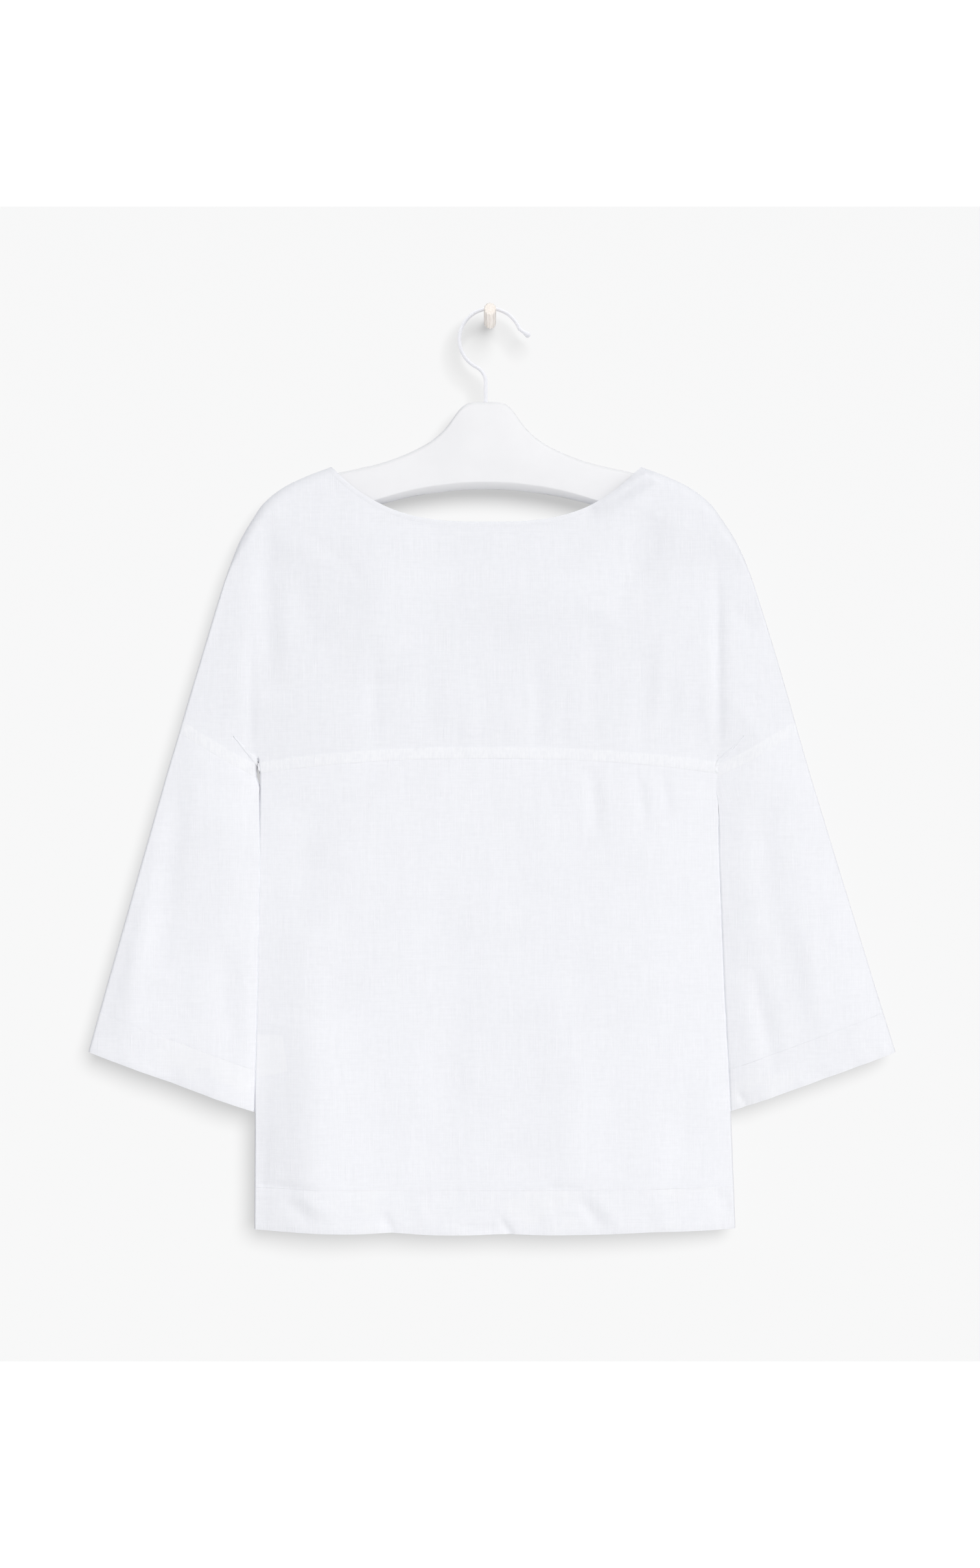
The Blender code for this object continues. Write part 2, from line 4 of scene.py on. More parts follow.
import bpy
import numpy as np
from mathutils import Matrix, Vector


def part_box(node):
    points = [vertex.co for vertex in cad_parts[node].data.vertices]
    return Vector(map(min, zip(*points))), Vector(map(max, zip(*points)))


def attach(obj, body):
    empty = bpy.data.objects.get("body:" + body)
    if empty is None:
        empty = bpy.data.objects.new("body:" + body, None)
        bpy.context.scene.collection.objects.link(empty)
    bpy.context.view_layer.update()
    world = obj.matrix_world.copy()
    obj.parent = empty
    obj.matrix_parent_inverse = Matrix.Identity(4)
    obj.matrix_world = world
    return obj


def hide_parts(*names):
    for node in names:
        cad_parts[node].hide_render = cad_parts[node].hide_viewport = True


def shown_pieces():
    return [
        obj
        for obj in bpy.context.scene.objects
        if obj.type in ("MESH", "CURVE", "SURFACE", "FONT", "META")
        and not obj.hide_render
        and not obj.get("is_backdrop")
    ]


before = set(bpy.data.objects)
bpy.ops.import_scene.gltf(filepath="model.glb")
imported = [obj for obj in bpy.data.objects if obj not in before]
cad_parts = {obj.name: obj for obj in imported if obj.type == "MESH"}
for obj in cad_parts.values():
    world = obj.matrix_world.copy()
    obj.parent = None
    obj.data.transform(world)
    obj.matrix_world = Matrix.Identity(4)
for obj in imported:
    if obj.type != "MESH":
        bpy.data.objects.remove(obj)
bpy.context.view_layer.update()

MM = 0.001
NEAR = -1.0
FAR = 1.0

# The garment's middle plane, read from the frame: it is the plane of the hanger.
hanger_low, hanger_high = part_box("hanger_body")
PLANE_Y = 0.5 * (hanger_low[1] + hanger_high[1]) / MM

# Thickness of the cloth, of the turned hems and of the neck binding.
CLOTH = 0.7
HEM_CLOTH = 1.7
BINDING_CLOTH = 1.5
SEAM_GAP = 0.04
PROUD = 0.3
MERGE = 0.01

# A panel turns over at its edge and then swells gently; over the hanger it turns in one round.
EDGE_DEPTH = 6.0
LEFT_EDGE_DEPTH = 10.0
LEFT_EDGE_BLEND = 60.0
EDGE_RADIUS = 2.2
BODY_REACH = 110.0
SLEEVE_REACH = 42.0
FOLD_REACH = 22.0
CREASE_REACH = 9.0
FOLD_END_POWER = 0.7
FOLD_GAIN = 1.7
ARM_RADIUS = 12.0
ARM_ZONE_TOP = -210.0
ARM_ZONE_BOTTOM = -250.0

# Neck opening.
NECK_TOP_Z = -146.2
NECK_HALF_WIDTH = 150.6
BACK_NECK = (-200.5, 3.0)
FRONT_NECK = (-283.0, 2.3)
BINDING_WIDTH = 5.0
BINDING_LAP = 1.0

# Yoke seam, hems and cuffs.
YOKE_MID_Z = -429.7
YOKE_BOW = 14.5
YOKE_POWER = 2.3
HEM_TOP_Z = -844.3
HEM_TOP_SAG = 2.0
HEM_Z = -885.2
HEM_SAG = 4.8
CUFF_DEPTH = 40.0
CUFF_OUTER = (391.8, -713.9)
CUFF_INNER_Z = -771.8
# A turned hem or cuff rounds in at its lower edge.
HEM_TURN = 0.7
HEM_TURN_WIDTH = 1.2

Edge = namedtuple("Edge", "z half_width")

# Shoulder line, from the neck corner round to the outer end of the sleeve seam.
SHOULDER = (
    Edge(-146.2, 150.6),
    Edge(-153.4, 170.0),
    Edge(-161.4, 188.4),
    Edge(-168.6, 201.0),
    Edge(-177.1, 212.0),
    Edge(-184.6, 219.4),
    Edge(-192.9, 225.2),
    Edge(-208.6, 235.3),
    Edge(-224.4, 243.8),
    Edge(-255.9, 256.1),
    Edge(-303.1, 270.9),
    Edge(-348.0, 284.4),
    Edge(-366.0, 289.7),
    Edge(-385.0, 295.2),
    Edge(-404.0, 300.5),
)

# Armpit notch of the yoke: its top, its sleeve side and the inner end of the sleeve seam.
ARMPIT = (
    Edge(-430.0, 224.2),
    Edge(-439.0, 226.6),
    Edge(-448.0, 227.2),
)

# Side seams of the body.
SIDE = (
    Edge(-444.2, 222.0),
    Edge(-483.9, 222.6),
    Edge(-649.6, 227.0),
    Edge(-740.3, 230.4),
    Edge(-800.8, 231.8),
    Edge(-895.0, 233.8),
)

# The garment hangs a little askew: how far its centre line stands to the right.
Sway = namedtuple("Sway", "z right")
SWAY = (
    Sway(-161.0, -3.6),
    Sway(-193.0, -2.8),
    Sway(-240.0, -1.4),
    Sway(-335.0, -1.0),
    Sway(-446.0, -1.6),
    Sway(-650.0, 0.8),
    Sway(-895.0, 5.0),
)

# The slits under the arms: how much narrower they are drawn, and where the right one is shut.
LEFT_SLIT_DRAWN = 2.4
RIGHT_SLIT_DRAWN = 6.0
SLIT_REACH = 20.0
SHUT_REACH = 46.0
SHUT_WIDTH = 12.0
# The drawing begins at the side of the body and fades out across the sleeve.
DRAWN_FROM = 222.2
DRAWN_WHOLE_AFTER = 1.6
DRAWN_FADES_FROM = 230.0
DRAWN_FADE = 30.0

# Inner edges of the sleeves: both lie a little way behind the sides of the body.
LEFT_INNER = (
    Edge(-448.0, 227.2),
    Edge(-462.0, 221.8),
    Edge(-520.0, 220.6),
    Edge(-650.0, 224.4),
    Edge(-723.0, 227.8),
    Edge(-790.0, 231.4),
)
RIGHT_INNER = (
    Edge(-448.0, 227.2),
    Edge(-462.0, 223.4),
    Edge(-520.0, 221.6),
    Edge(-650.0, 225.4),
    Edge(-740.0, 228.6),
    Edge(-790.0, 229.8),
)
# The left sleeve rises a little toward the body.
LEFT_LEAN = 4.6
LEFT_LEAN_REACH = 95.0
LEFT_LEAN_WHOLE_AT = 0.25

# How far the body cloth stands from the garment's middle plane.
Depth = namedtuple("Depth", "z half_depth")
BODY_DEPTH = (
    Depth(-900.0, 16.6),
    Depth(-650.0, 16.0),
    Depth(-446.0, 15.0),
    Depth(-300.0, 13.0),
    Depth(-200.0, 10.6),
    Depth(-146.0, 9.6),
)
SLEEVE_DEPTH = 10.0
CUFF_DEPTH_GAIN = 2.2
SLEEVE_BLEND = 70.0

# Folds run from a top end to a bottom end. Ridges stand above zero and valleys below, and the
# bow is how far the middle of the fold lies to the right of the line between its ends.
Fold = namedtuple("Fold", "x_top z_top x_bottom z_bottom half_width height bow", defaults=(0.0,))

NEAR_FOLDS = (
    # Where the dropped shoulders hang over the sides of the body.
    Fold(-216.0, -196.0, -219.0, -372.0, 15.0, -2.6, 2.0),
    Fold(-233.0, -300.0, -231.0, -440.0, 6.0, -0.9),
    Fold(220.0, -232.0, 222.0, -428.0, 6.0, -1.8, -1.0),
    Fold(232.0, -286.0, 288.0, -318.0, 9.0, -1.1),
    # Drag lines and soft swells of the yoke.
    Fold(162.0, -196.0, 112.0, -292.0, 24.0, -2.6, 3.0),
    Fold(192.0, -176.0, 150.0, -250.0, 17.0, 0.8),
    Fold(-52.0, -292.0, 148.0, -272.0, 24.0, 2.0, 4.0),
    Fold(-98.0, -204.0, -106.0, -356.0, 38.0, 2.6, -4.0),
    Fold(-196.0, -226.0, -168.0, -330.0, 17.0, -1.4),
    Fold(-113.0, -310.0, -111.0, -428.0, 9.0, -0.7),
    Fold(-62.0, -330.0, -57.0, -420.0, 12.0, -0.6, 2.0),
    Fold(-20.0, -350.0, -22.0, -428.0, 8.0, 0.4),
    Fold(45.0, -318.0, 48.0, -430.0, 8.0, -0.7),
    Fold(72.0, -360.0, 70.0, -426.0, 6.0, -0.4),
    Fold(101.0, -290.0, 97.0, -416.0, 11.0, -0.8, 2.0),
    Fold(151.0, -326.0, 144.0, -430.0, 8.0, -0.7),
    Fold(168.0, -300.0, 160.0, -396.0, 6.0, 0.5, 2.0),
    Fold(188.0, -340.0, 184.0, -424.0, 7.0, 0.5),
    # The body below the seam.
    Fold(98.0, -438.0, 103.0, -506.0, 8.0, -1.4),
    Fold(142.0, -440.0, 150.0, -500.0, 5.0, -1.0),
    Fold(168.0, -442.0, 172.0, -490.0, 5.0, -0.8),
    Fold(-173.0, -540.0, -175.0, -900.0, 26.0, 2.0, -2.0),
    Fold(-164.0, -680.0, -162.0, -960.0, 46.0, 3.6),
    Fold(-176.0, -470.0, -182.0, -600.0, 18.0, -1.2),
    Fold(66.0, -640.0, 84.0, -880.0, 24.0, 1.6, 3.0),
    Fold(-36.0, -560.0, -47.0, -860.0, 24.0, -1.4),
    Fold(188.0, -730.0, 180.0, -850.0, 16.0, -1.2),
    # Sleeves.
    Fold(-300.0, -456.0, -322.0, -640.0, 14.0, -1.7),
    Fold(-334.0, -560.0, -354.0, -700.0, 12.0, 1.3),
    Fold(-258.0, -600.0, -250.0, -735.0, 14.0, -2.0),
    Fold(252.0, -628.0, 276.0, -738.0, 9.0, -1.9),
    Fold(296.0, -560.0, 326.0, -712.0, 13.0, 1.6),
    Fold(262.0, -470.0, 272.0, -600.0, 12.0, -1.0),
)

FAR_FOLDS = (
    Fold(-214.0, -230.0, -218.0, -420.0, 9.0, 1.8),
    Fold(217.0, -236.0, 219.0, -420.0, 8.0, 1.7),
    Fold(-150.0, -230.0, -70.0, -380.0, 14.0, 1.6),
    Fold(146.0, -236.0, 62.0, -372.0, 13.0, 1.5),
    Fold(-96.0, -420.0, -104.0, -700.0, 18.0, 1.6),
    Fold(-40.0, -520.0, -52.0, -850.0, 22.0, -1.6),
    Fold(98.0, -500.0, 112.0, -860.0, 20.0, 1.7),
    Fold(176.0, -560.0, 182.0, -850.0, 15.0, -1.5),
    Fold(-178.0, -620.0, -186.0, -860.0, 14.0, 1.7),
    Fold(-292.0, -470.0, -318.0, -660.0, 12.0, 1.5),
    Fold(288.0, -480.0, 312.0, -690.0, 12.0, -1.6),
)

# Smaller creases that lie on the folds.
NEAR_CREASES = (
    # At the corners of the neck.
    Fold(-196.0, -206.0, -120.0, -262.0, 7.0, -0.5, 6.0),
    Fold(204.0, -196.0, 128.0, -296.0, 6.0, 0.6, -8.0),
    Fold(186.0, -126.0, 100.0, -190.0, 9.0, 4.6, 3.0),
    # Above the hem and on it.
    Fold(-232.0, -841.0, -166.0, -845.0, 4.0, -0.9),
    Fold(54.0, -844.0, 92.0, -844.0, 3.5, -0.7),
    Fold(-200.0, -852.0, -166.0, -882.0, 7.0, -0.9),
    Fold(-184.0, -849.0, -146.0, -874.0, 6.0, 0.8),
    Fold(-106.0, -866.0, -92.0, -890.0, 5.0, -1.4),
    Fold(-72.0, -856.0, -58.0, -884.0, 7.0, 0.7),
    Fold(-32.0, -882.0, 24.0, -884.0, 4.0, -1.1),
    Fold(8.0, -872.0, 24.0, -893.0, 3.0, -1.2),
    Fold(48.0, -852.0, 60.0, -886.0, 8.0, 0.7),
    Fold(82.0, -849.0, 110.0, -886.0, 6.0, -1.0),
    Fold(98.0, -847.0, 128.0, -884.0, 6.0, 0.9),
    Fold(160.0, -850.0, 168.0, -886.0, 10.0, 0.8),
    Fold(214.0, -844.0, 234.0, -870.0, 8.0, -1.0),
    # On the cuffs.
    Fold(238.0, -750.0, 252.0, -770.0, 3.0, -1.3),
    Fold(262.0, -748.0, 276.0, -768.0, 5.0, 0.8),
    Fold(300.0, -738.0, 320.0, -762.0, 6.0, 0.9),
    Fold(318.0, -728.0, 334.0, -752.0, 4.0, -0.9),
    Fold(350.0, -718.0, 364.0, -744.0, 6.0, -0.9),
    Fold(372.0, -700.0, 384.0, -722.0, 5.0, 0.7),
    Fold(-258.0, -742.0, -276.0, -776.0, 6.0, 0.8),
    Fold(-300.0, -734.0, -322.0, -760.0, 7.0, -0.9),
    Fold(-334.0, -722.0, -346.0, -750.0, 5.0, 0.7),
    Fold(-354.0, -716.0, -370.0, -738.0, 6.0, -0.7),
)
FAR_CREASES = (
    Fold(-170.0, -206.0, -96.0, -300.0, 7.0, -0.6, 6.0),
    Fold(164.0, -200.0, 88.0, -306.0, 7.0, 0.6, -8.0),
    Fold(-188.0, -848.0, -152.0, -880.0, 7.0, 0.8),
    Fold(-120.0, -860.0, -98.0, -888.0, 6.0, -1.1),
    Fold(-20.0, -854.0, 16.0, -886.0, 7.0, 0.9),
    Fold(64.0, -880.0, 118.0, -883.0, 4.0, -1.0),
    Fold(150.0, -848.0, 176.0, -884.0, 8.0, -0.8),
    Fold(268.0, -744.0, 284.0, -768.0, 6.0, 0.8),
    Fold(330.0, -726.0, 350.0, -748.0, 5.0, -0.9),
    Fold(-276.0, -740.0, -290.0, -768.0, 6.0, -0.8),
    Fold(-340.0, -720.0, -356.0, -744.0, 6.0, 0.8),
)

# Where the hem dips and lifts along its length.
Wave = namedtuple("Wave", "x half_width height")
HEM_WAVES = (
    Wave(-99.0, 24.0, 2.0),
    Wave(11.0, 26.0, 1.6),
    Wave(150.0, 34.0, 1.0),
)

# Width of the doubled cloth along a seam, and how far it stands out.
ALLOWANCE_WIDTH = 11.0
ALLOWANCE_RISE = 0.25
ALLOWANCE_STEP = 2.0
SEAM_DIP = 0.14
SEAM_DIP_WIDTH = 1.3


# Shapes of lines and edges, on arrays of points.
def mix(a, b, t):
    return a + (b - a) * t


def ease(t):
    t = np.clip(t, 0.0, 1.0)
    return t * t * (3.0 - 2.0 * t)


def look_up(rows, z):
    ordered = sorted((row[0], row[1]) for row in rows)
    return np.interp(z, [row[0] for row in ordered], [row[1] for row in ordered])


def smooth_line(points, steps):
    # A smooth line through the points, with this many steps between each two of them.
    points = np.array(points)
    before = 2.0 * points[0] - points[1]
    after = 2.0 * points[-1] - points[-2]
    padded = np.vstack([before, points, after])
    place = np.linspace(0.0, len(points) - 1.0, steps * (len(points) - 1) + 1)
    first = np.minimum(place.astype(int), len(points) - 2)
    t = (place - first)[:, None]
    a, b, c, d = (padded[first + shift] for shift in range(4))
    return 0.5 * (2.0 * b + (c - a) * t + (2.0 * a - 5.0 * b + 4.0 * c - d) * t ** 2
                  + (3.0 * b - a - 3.0 * c + d) * t ** 3)


def along_line(points, place):
    # Points at a place counted in rows of the table.
    index = np.arange(len(points))
    return np.interp(place, index, points[:, 0]), np.interp(place, index, points[:, 1])


def line_distance(x, z, points):
    best = np.full(np.shape(x), np.inf)
    for (x0, z0), (x1, z1) in zip(points, points[1:]):
        run, rise = x1 - x0, z1 - z0
        t = np.clip(((x - x0) * run + (z - z0) * rise) / (run * run + rise * rise), 0.0, 1.0)
        best = np.minimum(best, np.hypot(x - x0 - run * t, z - z0 - rise * t))
    return best


LINE_STEPS = 5
shoulder_curve = smooth_line([(row.half_width, row.z) for row in SHOULDER], LINE_STEPS)
armpit_curve = smooth_line([(row.half_width, row.z) for row in ARMPIT], LINE_STEPS)
side_curve = smooth_line([(row.half_width, row.z) for row in SIDE], LINE_STEPS)
shoulder_edge = np.vstack([shoulder_curve, CUFF_OUTER])
side_edge = np.vstack([armpit_curve[:1], side_curve])
SEAM_OUTER = (SHOULDER[-1].half_width, SHOULDER[-1].z)
SEAM_INNER = (ARMPIT[-1].half_width, ARMPIT[-1].z)


def sway(z):
    return look_up(SWAY, z)


def side_width(z):
    return np.interp(z, side_curve[::-1, 1], side_curve[::-1, 0])


def yoke_seam(share):
    return YOKE_MID_Z - YOKE_BOW * np.abs(share) ** YOKE_POWER


def hem_top(share):
    return HEM_TOP_Z - HEM_TOP_SAG * (1.0 - share ** 2)


def hem_bottom(share):
    x = share * SIDE[-1].half_width
    lift = sum(w.height * np.exp(-((x - w.x) / w.half_width) ** 2) for w in HEM_WAVES)
    return HEM_Z - HEM_SAG * (1.0 - share ** 2) + lift


def neck_point(across, neck, inset):
    lowest, power = neck
    first, second = SHOULDER[:2]
    slope = (first.z - second.z) / (second.half_width - first.half_width)
    top = NECK_TOP_Z - slope * inset
    x = (NECK_HALF_WIDTH + inset) * across
    return x, mix(lowest - inset, top, np.abs(across) ** power)


# The cloth's height above the garment's middle plane.
def quarter(share):
    return np.sqrt(np.clip(1.0 - (1.0 - np.minimum(share, 1.0)) ** 2, 0.0, 1.0))


def relief(folds, x, z):
    total = np.zeros(np.shape(x))
    for fold in folds:
        run, rise = fold.x_bottom - fold.x_top, fold.z_bottom - fold.z_top
        length = math.hypot(run, rise)
        t = ((x - fold.x_top) * run + (z - fold.z_top) * rise) / length ** 2
        bulge = np.sin(math.pi * np.clip(t, 0.0, 1.0))
        off = ((x - fold.x_top) * rise - (z - fold.z_top) * run) / length + fold.bow * bulge
        height = FOLD_GAIN * fold.height * bulge ** FOLD_END_POWER
        total += height * np.exp(-(off / fold.half_width) ** 2)
    return total


LUMPS = 64
FIRST_LUMP = (32.0, 640.0)


def soft_noise(x, z, size, seed):
    # Smooth uneven swelling between -1 and 1, with lumps about this size across.
    grid = np.random.default_rng(seed).uniform(-1.0, 1.0, (LUMPS, LUMPS))
    u, v = x / size + FIRST_LUMP[0], z / size + FIRST_LUMP[1]
    i, j = np.floor(u).astype(int), np.floor(v).astype(int)
    s, t = ease(u - i), ease(v - j)
    left, right, under, over = i % LUMPS, (i + 1) % LUMPS, j % LUMPS, (j + 1) % LUMPS
    low = mix(grid[left, under], grid[right, under], s)
    high = mix(grid[left, over], grid[right, over], s)
    return mix(low, high, t)


# Wide soft crumples and finer rumples, both longer down the cloth than across it.
CRUMPLE_SIZE = 26.0
CRUMPLE_SHORTENING = 0.45
CRUMPLE = 0.3
RUMPLE_SIZE = 9.0
RUMPLE_SHORTENING = 0.28
RUMPLE_SLANT = 0.05
RUMPLE = 0.07
NEAR_SEED = 11
FAR_SEED = 47


def crumple(side, x, z):
    seed = NEAR_SEED if side == NEAR else FAR_SEED
    wide = soft_noise(x, CRUMPLE_SHORTENING * z, CRUMPLE_SIZE, seed)
    along = RUMPLE_SHORTENING * z - RUMPLE_SLANT * x
    fine = soft_noise(x + RUMPLE_SLANT * z, along, RUMPLE_SIZE, seed + 1)
    return CRUMPLE * wide + RUMPLE * fine


def right_slit_shut(x, z):
    # Under the right arm the cloth of body and sleeve does not turn in at its edge.
    off = np.hypot((x - SEAM_INNER[0]) / SHUT_WIDTH, (z - SEAM_INNER[1]) / SHUT_REACH)
    return EDGE_RADIUS * np.exp(-off ** 4)


def stand_off(edge, lift, full, reach, over_arm, folds, creases):
    lift = mix(lift, full, over_arm)
    radius = mix(EDGE_RADIUS, ARM_RADIUS, over_arm)
    swell = np.sin(0.5 * math.pi * np.minimum(edge / reach, 1.0))
    depth = lift * quarter(edge / radius) + (full - lift) * swell
    return depth + folds * ease(edge / FOLD_REACH) + creases * ease(edge / CREASE_REACH)


def folds_at(side, x, z):
    hung = x + sway(z)
    return relief(NEAR_FOLDS if side == NEAR else FAR_FOLDS, hung, z)


def creases_at(side, x, z):
    hung = x + sway(z)
    creases = relief(NEAR_CREASES if side == NEAR else FAR_CREASES, hung, z)
    return creases + crumple(side, hung, z)


def sleeve_seam_distance(x, z):
    return line_distance(np.abs(x), z, [SEAM_OUTER, SEAM_INNER])


def panel_depth(side, x, z):
    across = np.abs(x)
    edge = np.minimum(line_distance(across, z, shoulder_edge), line_distance(across, z, side_edge))
    edge = np.minimum(edge, line_distance(across, z, armpit_curve))
    full, reach = look_up(BODY_DEPTH, z), BODY_REACH
    above = z > SEAM_INNER[1]
    away = np.where(above, ease(sleeve_seam_distance(x, z) / SLEEVE_BLEND), 1.0)
    full, reach = mix(SLEEVE_DEPTH, full, away), mix(SLEEVE_REACH, reach, away)
    over_arm = ease((z - ARM_ZONE_BOTTOM) / (ARM_ZONE_TOP - ARM_ZONE_BOTTOM))
    below = np.where(x < 0.0, ease((SEAM_INNER[1] - z) / LEFT_EDGE_BLEND), 0.0)
    lift = mix(EDGE_DEPTH, LEFT_EDGE_DEPTH, below)
    edge = edge + right_slit_shut(x, z)
    folds, creases = folds_at(side, x, z), creases_at(side, x, z)
    return stand_off(edge, lift, full, reach, over_arm, folds, creases)


def stitch_dip(away):
    # How far the cloth dips at a line of stitching, by the distance from it.
    return SEAM_DIP * np.exp(-(away / SEAM_DIP_WIDTH) ** 2)


def hem_turn(above):
    return HEM_TURN * np.exp(-(above / HEM_TURN_WIDTH) ** 2)


def seam_ridge(away):
    # The doubled cloth beside a seam: a dip at the stitching and a soft step where it ends.
    band = ease((ALLOWANCE_WIDTH + 0.5 * ALLOWANCE_STEP - away) / ALLOWANCE_STEP)
    return ALLOWANCE_RISE * band - stitch_dip(away)


# Making a sheet of cloth. On its Seam map, v is the distance from a seam. A plain panel and a
# turned hem begin further off than any doubled cloth reaches.
PANEL_AWAY = 60.0
TURNED_AWAY = 30.0
CLOTH_SMOOTH_ANGLE = 50.0


def rows_between(length, top, bottom, count):
    # Distances down a column: fixed steps at both ends and even ones between them.
    middle = np.linspace(0.0, 1.0, count)[1:-1]
    start, end = top[-1], length - bottom[-1]
    inner = start + (end - start) * middle[:, None]
    top_rows = np.array(top)[:, None] + np.zeros_like(length)
    bottom_rows = length - np.array(bottom[::-1])[:, None]
    return np.vstack([top_rows, inner, bottom_rows]) / length


def new_grid(name, columns, rows):
    bpy.ops.object.select_all(action="DESELECT")
    bpy.ops.mesh.primitive_grid_add(x_subdivisions=columns, y_subdivisions=rows, size=2.0)
    made = bpy.context.object
    made.name = name
    made.data.name = name
    return made


def apply_all(made):
    bpy.context.view_layer.objects.active = made
    for modifier in list(made.modifiers):
        bpy.ops.object.modifier_apply(modifier=modifier.name)


def set_uv(mesh, name, u, v):
    layer = mesh.uv_layers.get(name) or mesh.uv_layers.new(name=name)
    corner = np.empty(len(mesh.loops), dtype=np.int32)
    mesh.loops.foreach_get("vertex_index", corner)
    pairs = np.stack([u.ravel()[corner], v.ravel()[corner]], axis=1) * MM
    layer.data.foreach_set("uv", pairs.ravel().astype(np.float32))


def cloth_piece(name, x, y, z, weave, seam, wall, finish, welded=False):
    # x, y and z hold one row of points for each row of the sheet, from its top row down.
    rows, columns = x.shape[0] - 1, x.shape[1] - 1
    made = new_grid(name, columns, rows)
    mesh = made.data
    points = np.stack([a[::-1].ravel() for a in (x, y, z)], axis=1) * MM
    mesh.vertices.foreach_set("co", points.ravel().astype(np.float32))
    mesh.uv_layers.remove(mesh.uv_layers[0])
    set_uv(mesh, "Weave", weave[0][::-1], weave[1][::-1])
    set_uv(mesh, "Seam", seam[0][::-1], seam[1][::-1])
    mesh.update()
    if welded:
        weld = made.modifiers.new("Side seam", "WELD")
        weld.merge_threshold = MERGE * MM
    shell = made.modifiers.new("Cloth", "SOLIDIFY")
    shell.thickness = wall * MM
    shell.offset = -1.0
    shell.use_rim = True
    shell.use_quality_normals = True
    apply_all(made)
    bpy.ops.object.shade_smooth_by_angle(angle=math.radians(CLOTH_SMOOTH_ANGLE))
    made.data.materials.clear()
    made.data.materials.append(finish)
    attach(made, "root")
    return made


def slit_drawn(x, z):
    # The slits under the arms are drawn narrower, the right one until it is shut.
    across = np.abs(x)
    there = np.exp(-((z - SEAM_INNER[1]) / SLIT_REACH) ** 2)
    begun = ease((across - DRAWN_FROM) / DRAWN_WHOLE_AFTER)
    faded = ease((across - DRAWN_FADES_FROM) / DRAWN_FADE)
    return np.where(x > 0.0, RIGHT_SLIT_DRAWN, -LEFT_SLIT_DRAWN) * there * begun * (1.0 - faded)


def hang(side, x, z, depth):
    return x - slit_drawn(x, z) + sway(z), PLANE_Y + side * depth, z


# Body and yoke. Steps across one half of a panel go over the neck first and then along the
# shoulder, a step for each row of its table; the last of them end at the armpit.
NECK_COLUMNS = 9.0
SHOULDER_COLUMNS = len(SHOULDER) - 1.0
HALF_COLUMNS = NECK_COLUMNS + SHOULDER_COLUMNS
BODY_COLUMNS = HALF_COLUMNS - len(ARMPIT)
NECK_SHARE = 0.43


def spread(step, count):
    return np.sin(0.5 * math.pi * np.minimum(step / count, 1.0))


def column_top(step, neck):
    neck_x, neck_z = neck_point(spread(step, NECK_COLUMNS), neck, BINDING_WIDTH - BINDING_LAP)
    place = np.clip(step - NECK_COLUMNS, 0.0, SHOULDER_COLUMNS) * LINE_STEPS
    far_x, far_z = along_line(shoulder_curve, place)
    at_neck = step <= NECK_COLUMNS
    return np.where(at_neck, neck_x, far_x), np.where(at_neck, neck_z, far_z)


def column_share(step):
    inner = NECK_SHARE * step / NECK_COLUMNS
    outer = mix(NECK_SHARE, 1.0, spread(step - NECK_COLUMNS, BODY_COLUMNS - NECK_COLUMNS))
    return np.where(step <= NECK_COLUMNS, inner, outer)


def column_bottom(step, gap):
    share = column_share(np.minimum(step, BODY_COLUMNS))
    place = np.clip(step - BODY_COLUMNS - 1.0, 0.0, len(ARMPIT) - 1.0) * LINE_STEPS
    pit_x, pit_z = along_line(armpit_curve, place)
    seam_x, seam_z = SIDE[0].half_width * share, yoke_seam(share) + gap
    into = np.clip(step - BODY_COLUMNS, 0.0, 1.0)
    return mix(seam_x, pit_x, into), mix(seam_z, pit_z, into)


def steps_across(half, columns):
    # Columns from the left edge to the right one, and which side of the middle each is on.
    place = np.linspace(-1.0, 1.0, columns + 1)
    return np.abs(place) * half, np.sign(place)


# Distances of the rows near a free edge, at the ends of a body panel and over the yoke seam.
EDGE_ROWS = (0.0, 0.35, 0.9, 1.7, 2.8, 4.2, 6.0, 8.4, 11.0)
PANEL_END_ROWS = (0.0, 0.45, 0.95, 1.6, 2.6, 4.0, 6.0, 8.6)
SEAM_ROWS = (0.0, 0.45, 0.95, 1.6, 2.6, 4.0, 6.0, 8.0, 9.6, 10.6, 11.4, 12.4, 14.4)


def yoke_grid(neck, columns, count):
    step, hand = steps_across(HALF_COLUMNS, columns)
    top_x, top_z = column_top(step, neck)
    low_x, low_z = column_bottom(step, 0.5 * SEAM_GAP)
    length = np.hypot(top_x - low_x, top_z - low_z)
    down = rows_between(length, EDGE_ROWS, SEAM_ROWS, count)
    return hand * mix(top_x, low_x, down), mix(top_z, low_z, down)


def body_grid(columns, count):
    step, hand = steps_across(BODY_COLUMNS, columns)
    share = column_share(step)
    top, bottom = yoke_seam(share) - 0.5 * SEAM_GAP, hem_top(share) + 0.5 * SEAM_GAP
    down = rows_between(top - bottom, PANEL_END_ROWS, PANEL_END_ROWS, count)
    z = mix(top, bottom, down)
    return hand * share * side_width(z), z


def finish_panel(name, side, x, z, depth, seam, wall, finish):
    x = -side * x
    hung = hang(side, x, z, np.maximum(depth, 0.5 * SEAM_GAP))
    return cloth_piece(name, *hung, (x, z), seam, wall, finish)


def make_yoke(name, side, neck, columns, rows, finish):
    x, z = yoke_grid(neck, columns, rows)
    hung_x = -side * x
    away = sleeve_seam_distance(x, z)
    if side == NEAR:
        over_seam = z - yoke_seam(np.clip(x / SIDE[0].half_width, -1.0, 1.0))
        away = np.maximum(np.minimum(over_seam, away), 0.0)
    depth = panel_depth(side, hung_x, z) + seam_ridge(away)
    return finish_panel(name, side, x, z, depth, (x, away), CLOTH, finish)


